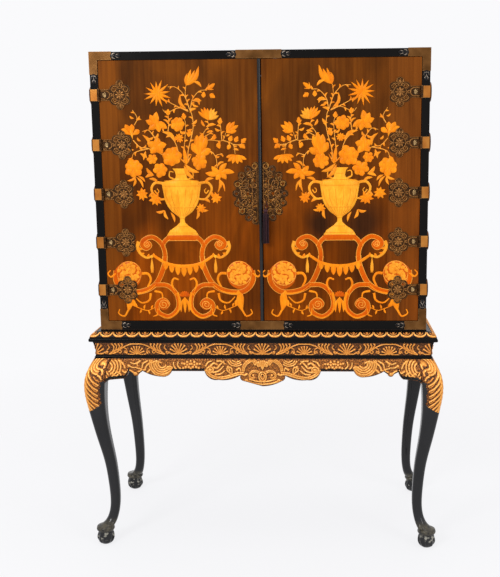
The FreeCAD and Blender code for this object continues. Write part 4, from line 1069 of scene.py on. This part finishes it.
def knee_end(art, corner):
    """Volute, buds and the ear's rocaille at the end of an apron, measured in from the frame's corner."""
    def at(*points):
        return (corner, 0) - np.reshape(points, (-1, 2)) * (1, -1)
    art.volute(*at(133, 605, 142, 605), 1.2, 1, 3.2)
    art.boss(at(110, 634)[0], 5.5)
    art.strokes(3.4, 3.0, at(166, 620, 152, 617, 142, 613))
    art.strokes(3.6, 2.8, at(125, 610, 116, 617, 106, 619))
    art.strokes(3.6, 2.2, at(110, 634, 122, 628, 134, 628))
    art.strokes(3.0, 2.0, at(118, 644, 130, 640, 142, 646))
    for radius in (17, 26, 35, 44):
        art.strokes(4.4, 3.4, at(arc((40, 632), radius, math.radians(80), math.radians(-62), 12)))
    art.strokes(4.4, 3.0, at(80, 654, 92, 640, 98, 626))
    art.strokes(3.8, 2.6, at(28, 626, 38, 618, 46, 606), at(24, 610, 36, 604, 44, 594),
                at(54, 612, 64, 604, 68, 594), at(72, 614, 82, 608, 84, 600), at(36, 590, 48, 596, 58, 594),
                at(90, 616, 98, 610, 102, 614))


def apron_drawing(reach, low):
    """The front apron's carving, drawn on one side of its middle and mirrored."""
    art = Carving(-reach, reach, low, APRON_HIGH, APRON_STEP)
    art.stipple(3.7, 0.62, 11)
    art.band((21, 640, 27, 650, 38, 653, 53, 643, 62, 630, 64, 616), 8.0, 5.5, 3)
    art.volute((14, 637), (23, 638), 1.2, 1, 3.6)
    art.fan((0, 621), 30, 26, 5, 1.6, 3.4)
    art.trace(arc((0, 597), (12, 16)), 3.0)
    art.trace(arc((0, 597), (6, 9)), 2.4)
    art.band((13, 612, 24, 616, 38, 611, 43, 599, 35, 591, 27, 595), 5.0, 3.6, 2)
    art.boss((31, 602), 4.5)
    art.volute((55, 583), (63, 583), 1.3, -1, 3.2)
    art.strokes(4.2, 3.6, (48, 579, 27, 573.5, 2, 571))
    art.strokes(3.6, 3.2, (43, 588, 22, 582, 3, 579))
    art.strokes(4.4, 3.4, (52, 606, 60, 602, 70, 606))
    art.band((64, 608, 80, 607, 100, 601, 124, 594, 148, 592, 168, 598, 182, 608, 188, 619), 6.4, 6.0, 2)
    art.volute((173, 619), (186, 619), 1.4, 1, 4.0)
    art.boss((173, 619), 7)
    art.strokes(5.2, 3.0, (172, 634, 161, 643, 151, 638))
    art.strokes(4.0, 2.6, (188, 634, 180, 646, 168, 650))
    art.strokes(3.2, 2.6, (115, 632, 118, 619, 105, 607), (115, 632, 103, 625, 101, 610),
                (113, 628, 108, 616))
    art.strokes(2.9, 2.7, (114, 650, 106, 638, 87, 633, 70, 638), (107, 651, 101, 643, 86, 639.5, 72, 645),
                (99, 652, 86, 646, 75, 651))
    art.strokes(4.4, 2.4, (164, 611, 146, 616, 130, 632), (156, 604, 140, 606, 126, 616),
                (150, 650, 137, 650, 124, 640), (146, 632, 138, 640, 128, 650), (86, 620, 76, 626, 72, 616),
                (160, 628, 150, 626, 142, 634))
    for centre in ((226, 637), (250, 637)):
        art.boss(centre, 4.75)
        for angle in np.radians(np.arange(5) * 72 + 18):
            art.boss(centre + 9.5 * heading(angle), 5.32)
    for centre in ((238, 650), (238, 624), (208, 640), (267, 642), (212, 626), (264, 626)):
        art.boss(centre, 4.6)
    art.strokes(3.4, 2.4, (274, 624, 282, 634, 280, 646), (286, 620, 294, 630, 296, 644),
                (198, 620, 204, 616, 214, 618))
    art.arcs((334, 640), (13, 20.5, 28, 35.5, 42), 18, -152, 3.7)
    art.volute((307, 624), (316, 624), 1.2, 1, 3.6)
    art.boss((307, 624), 6)
    art.strokes(4.2, 3.2, (372, 646, 386, 634, 392, 620))
    art.strokes(3.8, 2.8, (384, 650, 398, 640, 402, 626))
    art.fan((352, 652), 16, 60, 4, 2.4, 3.2, lean=-90)
    art.strokes(4.2, 2.4, (398, 612, 406, 622, 420, 626), (408, 650, 418, 640, 416, 632),
                (376, 620, 384, 612, 392, 608))
    knee_end(art, FRAME_X)
    art.mirror()
    return art


def side_apron_drawing(reach, low):
    art = Carving(-reach, reach, low, APRON_HIGH, APRON_STEP)
    art.stipple(3.7, 0.62, 12)
    art.fan((0, 612), 34, 60, 7, 2.0, 4.2)
    art.boss((0, 604), 7)
    art.band((10, 602, 28, 600, 46, 608, 58, 622), 6.0, 5.0, 2)
    art.volute((52, 632), (63, 632), 1.3, 1, 3.8)
    art.strokes(3.6, 2.6, (66, 645, 82, 650, 98, 645))
    art.strokes(3.8, 2.6, (68, 622, 78, 632, 92, 628))
    knee_end(art, FRAME_Y)
    art.mirror()
    return art


def lay_apron(name, hand, art, margin):
    lay_relief(f"apron_carving_{name}", f"apron_{name}", art.u, art.v, onto(hand), art.height, 5.0,
               (0.19, 0.82), margin=margin)


def carve_aprons():
    low, high = (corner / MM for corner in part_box("apron_front"))
    margin = ((194, 302, 5), (400, 414, 3), (FRAME_X - KNEE_MARGIN, FRAME_X, 7))
    lay_apron("front", 0, apron_drawing(high.x, low.z), margin)
    low, high = (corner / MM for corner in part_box("apron_right"))
    art = side_apron_drawing(high.y, low.z)
    for side, hand in HANDS:
        lay_apron(side, hand, art, ((66, 96, 5), (FRAME_Y - KNEE_MARGIN, FRAME_Y, 7)))


SCALLOP = 43.0
GADROON_FOOT, GADROON_SLOPE, GADROON_RUN = 14.0, math.radians(31.6), 30.0
GADROON_LOW, GADROON_BAND = 733.0, 20.5


def carve_gadroon():
    """Scallops along the lower part of the sloping moulding under the case; its upper part is black."""
    unit = Carving(0, SCALLOP / 2, 0, GADROON_RUN, 0.8)
    for reach, half, height in (((19.6, 15.6), 4.4, 1.0), ((10.0, 7.4), 2.4, 0.66)):
        edge = arc((0, GADROON_BAND - 2), reach, -math.pi / 2, 0.05, 14)
        unit.strokes(half, 0.6 * half, edge, height=height)
    unit.boss((0, GADROON_BAND - 3), 5.0, 0.9)
    vs = np.arange(0.3, GADROON_RUN, 0.8)
    for name, reach, hand in FACES:
        us = np.arange(-reach - 12, reach + 12, 1.4)
        u, v = np.meshgrid(us, vs)
        view = onto(hand, GADROON_FOOT, GADROON_LOW, math.sin(GADROON_SLOPE), math.cos(GADROON_SLOPE))
        heights = unit.sample(folded(u, SCALLOP), v)
        lay_relief(f"gadroon_carving_{name}", "gadroon_moulding", us, vs, view, heights, 2.2,
                   (0.02, 0.86), (vs > GADROON_BAND)[:, None])


carve_frieze()
carve_aprons()
carve_gadroon()


# Legs: the CAD surface sampled as a clean sheet, with the knees carved into it

LEG_COLUMNS = 144
KNEE_LOW, KNEE_HIGH = 480.0, 659.0
KNEE_LEVELS, KNEE_LIMITS = (480, 490, 502, 512, 584, 596), (0, 24, 44, 54, 58, 90)
EAR_LOW, EAR_LEVELS, EAR_SEAM = 590.0, (590, 659), (50, 46)
CARVE_DEPTH = 4.5
POST_TOP = 716.8
BALL_HIGH, BALL_FLUTES, FLUTE_DEPTH = 46.0, 9, 0.15


def knee_drawing():
    """Rocaille on an outer face of the knee: across from the outer corner, up the leg."""
    art = Carving(0, 70, KNEE_LOW - 6, KNEE_HIGH, 1.2)
    art.stipple(3.6, 0.6, 21)
    art.arcs((41, 644), (17.5, 25.5, 33.5), 105, 268, 4.2)
    art.boss((41, 646), 10.5)
    art.strokes(6, 3, (41, 646, 51, 641, 53, 631))
    art.strokes(4, 2.6, (46, 626, 54, 620, 56, 610), (44, 606, 52, 602, 58, 594))
    for k in range(9):
        top, reach = 650 - 18 * k, 50 - 2.5 * k
        art.strokes(4.4, 3.2, (1, top, 3, top - 22, 0.24 * reach, top - 44, 0.56 * reach, top - 62,
                               reach, top - 75))
        art.strokes(2.6, 2.0, (0.6 * reach, top - 48, 0.8 * reach, top - 58, reach, top - 62), height=0.8)
    return art


def leg_rows():
    lower = np.concatenate([np.linspace(0.15, 6, 6), np.arange(8, 90, 1.8), np.arange(90, 455, 7.0)])
    knee = np.arange(455, KNEE_HIGH - 0.2, 1.7)
    return np.concatenate([lower, knee, [KNEE_HIGH, KNEE_HIGH + 0.4, POST_TOP]])


def sample_leg():
    """Points around the front right leg by rows and columns, and its middle at each row."""
    tree, rows = tree_of("leg_front_right"), leg_rows()
    diagonal = Vector((1, -1, 0)).normalized()
    corner = Vector((FRAME_X, -FRAME_Y, 0)) * MM
    angles = np.arange(LEG_COLUMNS) * FULL_TURN / LEG_COLUMNS - math.pi / 4
    points, middles = np.zeros((len(rows), LEG_COLUMNS, 3)), np.zeros((len(rows), 2))
    for i, level in enumerate(rows):
        start = Vector((corner.x, corner.y, (level - 0.3 if level == KNEE_HIGH else level) * MM))
        outer = tree.ray_cast(start + diagonal * 0.2, -diagonal)[0]
        inner = tree.ray_cast(start - diagonal * 0.3, diagonal)[0]
        middle = (outer + inner) / 2
        middles[i] = middle.x / MM, middle.y / MM
        for j, angle in enumerate(angles):
            hit = tree.ray_cast(middle, Vector((*heading(angle), 0)))[0]
            points[i, j] = np.array(hit) / MM
        points[i, :, 2] = level
    return rows, points, middles


def carve_leg(rows, points, middles):
    """Flute the ball and sink the knee's ground below its acanthus.

    Gives the carved points, their tone and which of them are gilded.
    """
    art = knee_drawing()
    # Knee tone with painted highlights on the crests and painted shade in the hollows.
    knee_tone_with_painted_light = gilt_tone_with_painted_light(art.height, 0.12, 0.83)
    carved, tone, mask = points.copy(), np.zeros(points.shape[:2]), np.zeros(points.shape[:2], bool)
    for i, level in enumerate(rows):
        inward = middles[i] - points[i, :, :2]
        if level < BALL_HIGH:
            turn = np.arctan2(inward[:, 1], inward[:, 0])
            flute = 0.5 + 0.5 * np.cos(BALL_FLUTES * turn + level / 10)
            flute *= FLUTE_DEPTH * math.sin(math.pi * level / BALL_HIGH)
            carved[i, :, :2] += inward * flute[:, None]
        if not KNEE_LOW <= level <= KNEE_HIGH:
            continue
        left, right = points[i, :, 0].max() - points[i, :, 0], points[i, :, 1] - points[i, :, 1].min()
        across, near = np.maximum(left, right), np.minimum(left, right)
        limit = np.interp(level, KNEE_LEVELS, KNEE_LIMITS) + 2.0 * math.sin(level / 5)
        mask[i] = (across <= limit) & (near <= 0.5 * left.max())
        tone[i, mask[i]] = art.sample(across, np.full(LEG_COLUMNS, level), knee_tone_with_painted_light)[mask[i]]
        fade = np.full(LEG_COLUMNS, min(1.0, (level - KNEE_LOW) / 8, (KNEE_HIGH - level) / 3 + 0.2))
        if level > EAR_LOW:
            fade[across > np.interp(level, EAR_LEVELS, EAR_SEAM)] = 0.0
        sink = CARVE_DEPTH * (1 - art.sample(across, np.full(LEG_COLUMNS, level))) * fade * mask[i]
        carved[i, :, :2] += inward / np.linalg.norm(inward, axis=1, keepdims=True) * sink[:, None]
    return carved, tone, mask


def leg_piece(name, vertices, faces, material, depth=None):
    """A piece of a leg with only the vertices that its faces use."""
    used = sorted({index for face in faces for index in face})
    number = {index: place for place, index in enumerate(used)}
    faces = [[number[index] for index in face] for face in faces]
    depth = None if depth is None else depth[used]
    return build(name, vertices[used], faces, "carcase", material, depth=depth)


def place_legs():
    rows, points, middles = sample_leg()
    carved, tone, mask = carve_leg(rows, points, middles)
    wrap = np.arange(LEG_COLUMNS + 1) % LEG_COLUMNS
    index = np.arange(tone.size).reshape(tone.shape)[:, wrap]
    quads = quads_of(index)
    gilded = mask.ravel()[quads].sum(1) >= 3
    ends = [[*middles[0], 0.0], [*middles[-1], POST_TOP]]
    whole = np.vstack([carved.reshape(-1, 3), ends])
    wood = quads[~gilded].tolist()
    for low, high in zip(index[0], index[0, 1:]):
        wood.append([high, low, tone.size])
    for low, high in zip(index[-1], index[-1, 1:]):
        wood.append([low, high, tone.size + 1])
    for name, across, back in (("front_right", 1, 1), ("front_left", -1, 1), ("back_right", 1, -1),
                               ("back_left", -1, -1)):
        order = slice(None, None, across * back)
        vertices = whole * (across, back, 1)
        shank = [face[order] for face in wood]
        knee = quads[gilded][:, order].tolist()
        leg = leg_piece(f"leg_{name}_wood", vertices, shank, SHEEN_LACQUER)
        leg_piece(f"knee_{name}", vertices, knee, GILT, tone.ravel())
        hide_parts(f"leg_{name}")


place_legs()


# Tassel

SILK_DARK, SILK_LIGHT = srgb(44, 20, 27), srgb(72, 36, 44)
STRANDS = 90
HEAD_DROP, NECK_DROP, WRAPS = 30, 40, 5


def tassel():
    """Cord loop, turned head, wound neck and a skirt of strands in place of the plain solid."""
    low, high = (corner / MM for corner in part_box("tassel"))
    x, y = (low.x + high.x) / 2, (low.y + high.y) / 2
    radius = (high.x - low.x) / 2
    head, neck = high.z - HEAD_DROP, high.z - NECK_DROP
    vertices, faces, tints = [], [], []

    def tube(across, back, up, size, tint, sides=6):
        """A tube along a path that is measured from the tassel's axis."""
        start = len(vertices)
        path = np.column_stack(np.broadcast_arrays(x + across, y + back, up))
        along = np.gradient(path, axis=0)
        along /= np.linalg.norm(along, axis=1, keepdims=True)
        for point, way, width in zip(path, along, np.broadcast_to(size, len(path))):
            first = np.cross(way, (0.3, 0.9, 0.1))
            first /= np.linalg.norm(first)
            second = np.cross(way, first)
            for k in range(sides):
                angle = FULL_TURN * k / sides
                vertices.append(point + width * (math.cos(angle) * first + math.sin(angle) * second))
                tints.append((*np.array(tint[:3]) * rng.uniform(0.85, 1.15), 1))
        for row in range(len(path) - 1):
            for k in range(sides):
                a, b = start + row * sides + k, start + row * sides + (k + 1) % sides
                faces.append((a, a + sides, b + sides, b))
        faces.append(range(start, start + sides))
        faces.append(range(len(vertices) - 1, len(vertices) - 1 - sides, -1))

    turn = np.linspace(0, FULL_TURN, 40)
    top = high.z - 1.2
    tube(4.6 * np.sin(turn), 0, (top + head) / 2 + (top - head) / 2 * np.cos(turn), 1.1, SILK_LIGHT, 8)
    t = np.linspace(0, 1, 12)
    bulge = 0.6 * radius * (0.55 + 0.45 * np.sin(np.pi * t)) + 0.4
    tube(0, 0, head + 2 - t * (head - neck), bulge, SILK_LIGHT, 20)
    turn = np.linspace(0, WRAPS * FULL_TURN, 100)
    wound = 0.5 * radius
    tube(wound * np.cos(turn), wound * np.sin(turn), neck + 1 - 7 * turn / turn[-1], 0.9, SILK_LIGHT)
    t = np.linspace(0, 1, 8)
    for k in range(STRANDS):
        angle, share = rng.uniform(0, FULL_TURN), math.sqrt(rng.uniform(0.02, 1))
        out = radius * share * (0.8 + 0.12 * t) - 0.4
        sway = 0.24 * np.sin(4 * t + rng.uniform(0, 6))
        up = neck - 3 + (low.z + rng.uniform(0.5, 4) - neck + 3) * t
        tube(out * math.cos(angle) + sway, out * math.sin(angle) + sway, up, 0.75,
             SILK_DARK if k % 3 else SILK_LIGHT, 5)
    piece = build("tassel_strands", vertices, faces, "tassel", SILK, tints)
    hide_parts("tassel")


tassel()


# Stage, light and camera

BACKGROUND = srgb(250, 250, 252)
STUDIO_STRENGTH = 0.55
FLOOR_REACH, FLOOR_GLOW, FLOOR_FADE = 7.0, 0.84, (1.1, 2.6)
PHOTO_WIDTH, PHOTO_HEIGHT = 500, 577
FOCAL_PIXELS = 858.264
PRINCIPAL = (288.132, 280.699)
YAW, PITCH, ROLL = -0.0431, 0.1694, -0.0090
STAND_POINT = Vector((0.20615, -2.98599, 1.38966))


def light_world():
    world = bpy.data.worlds.new("studio")
    SCENE.world = world
    world.use_nodes = True
    studio = Nodes(world.node_tree)
    lit = studio.tree.nodes["Background"]
    lit.inputs["Color"].default_value = srgb(255, 255, 255)
    lit.inputs["Strength"].default_value = STUDIO_STRENGTH
    backdrop = studio.node("Background", {"Color": BACKGROUND}).outputs[0]
    mixed = studio.node("MixShader", {0: studio.seen(), 1: lit.outputs[0], 2: backdrop}).outputs[0]
    studio.show(mixed, "World Output")


def lay_floor():
    """A pale floor that keeps the shadow near the cabinet and melts into the background farther off."""
    mesh = bpy.data.meshes.new("floor")
    corners = [(x * FLOOR_REACH, y * FLOOR_REACH, 0) for x, y in ((-1, -1), (1, -1), (1, 1), (-1, 1))]
    mesh.from_pydata(corners, [], [(0, 1, 2, 3)])
    floor = bpy.data.objects.new("floor", mesh)
    SCENE.collection.objects.link(floor)
    shader = Shader("floor", Base_Color=srgb(240, 240, 242), Roughness=0.9, Specular_IOR_Level=0.0)
    distance = shader.node("VectorMath", {0: shader.place()}, operation="LENGTH").outputs["Value"]
    share = shader.span(shader.seen(), 0, 1, 0.0, FLOOR_GLOW)
    glow = shader.node("Emission", {"Color": BACKGROUND, "Strength": 1.0}).outputs[0]
    near = shader.node("MixShader", {0: share, 1: shader.surface.outputs[0], 2: glow}).outputs[0]
    clear = shader.node("BsdfTransparent").outputs[0]
    fade = shader.node("MixShader", {0: shader.span(distance, *FLOOR_FADE), 1: near, 2: clear}).outputs[0]
    shader.show(fade, "Material Output")
    mesh.materials.append(shader.material)


def hang_lamp(name, place, target, size, watts):
    lamp = bpy.data.lights.new(name, "AREA")
    lamp.shape = "RECTANGLE"
    lamp.size, lamp.size_y = size
    lamp.energy = watts
    holder = bpy.data.objects.new(name, lamp)
    holder.location = place
    holder.rotation_euler = (Vector(target) - Vector(place)).to_track_quat("-Z", "Y").to_euler()
    SCENE.collection.objects.link(holder)


def set_camera():
    camera = bpy.data.cameras.new("camera")
    camera.sensor_width = 36.0
    camera.lens = FOCAL_PIXELS * camera.sensor_width / PHOTO_HEIGHT
    camera.shift_x = (PHOTO_WIDTH / 2 - PRINCIPAL[0]) / PHOTO_HEIGHT
    camera.shift_y = (PRINCIPAL[1] - PHOTO_HEIGHT / 2) / PHOTO_HEIGHT
    level = Vector((math.sin(YAW), math.cos(YAW), 0))
    across = Vector((math.cos(YAW), -math.sin(YAW), 0))
    sky = Vector((0, 0, 1))
    ahead = level * math.cos(PITCH) - sky * math.sin(PITCH)
    up = sky * math.cos(PITCH) + level * math.sin(PITCH)
    right = across * math.cos(ROLL) + up * math.sin(ROLL)
    up = up * math.cos(ROLL) - across * math.sin(ROLL)
    holder = bpy.data.objects.new("camera", camera)
    holder.matrix_world = Matrix((right, up, -ahead)).transposed().to_4x4()
    holder.matrix_world.translation = STAND_POINT
    SCENE.collection.objects.link(holder)
    SCENE.camera = holder


light_world()
lay_floor()
hang_lamp("key", (-2.2, -3.4, 3.0), (0, 0, 0.9), (1.3, 1.3), 90)
hang_lamp("fill", (2.8, -2.6, 2.0), (0, 0, 0.9), (1.2, 2.0), 40)
hang_lamp("top", (0, 0.2, 4.0), (0, 0, 1.0), (2.5, 2.5), 45)
set_camera()
SCENE.view_settings.view_transform = "Standard"
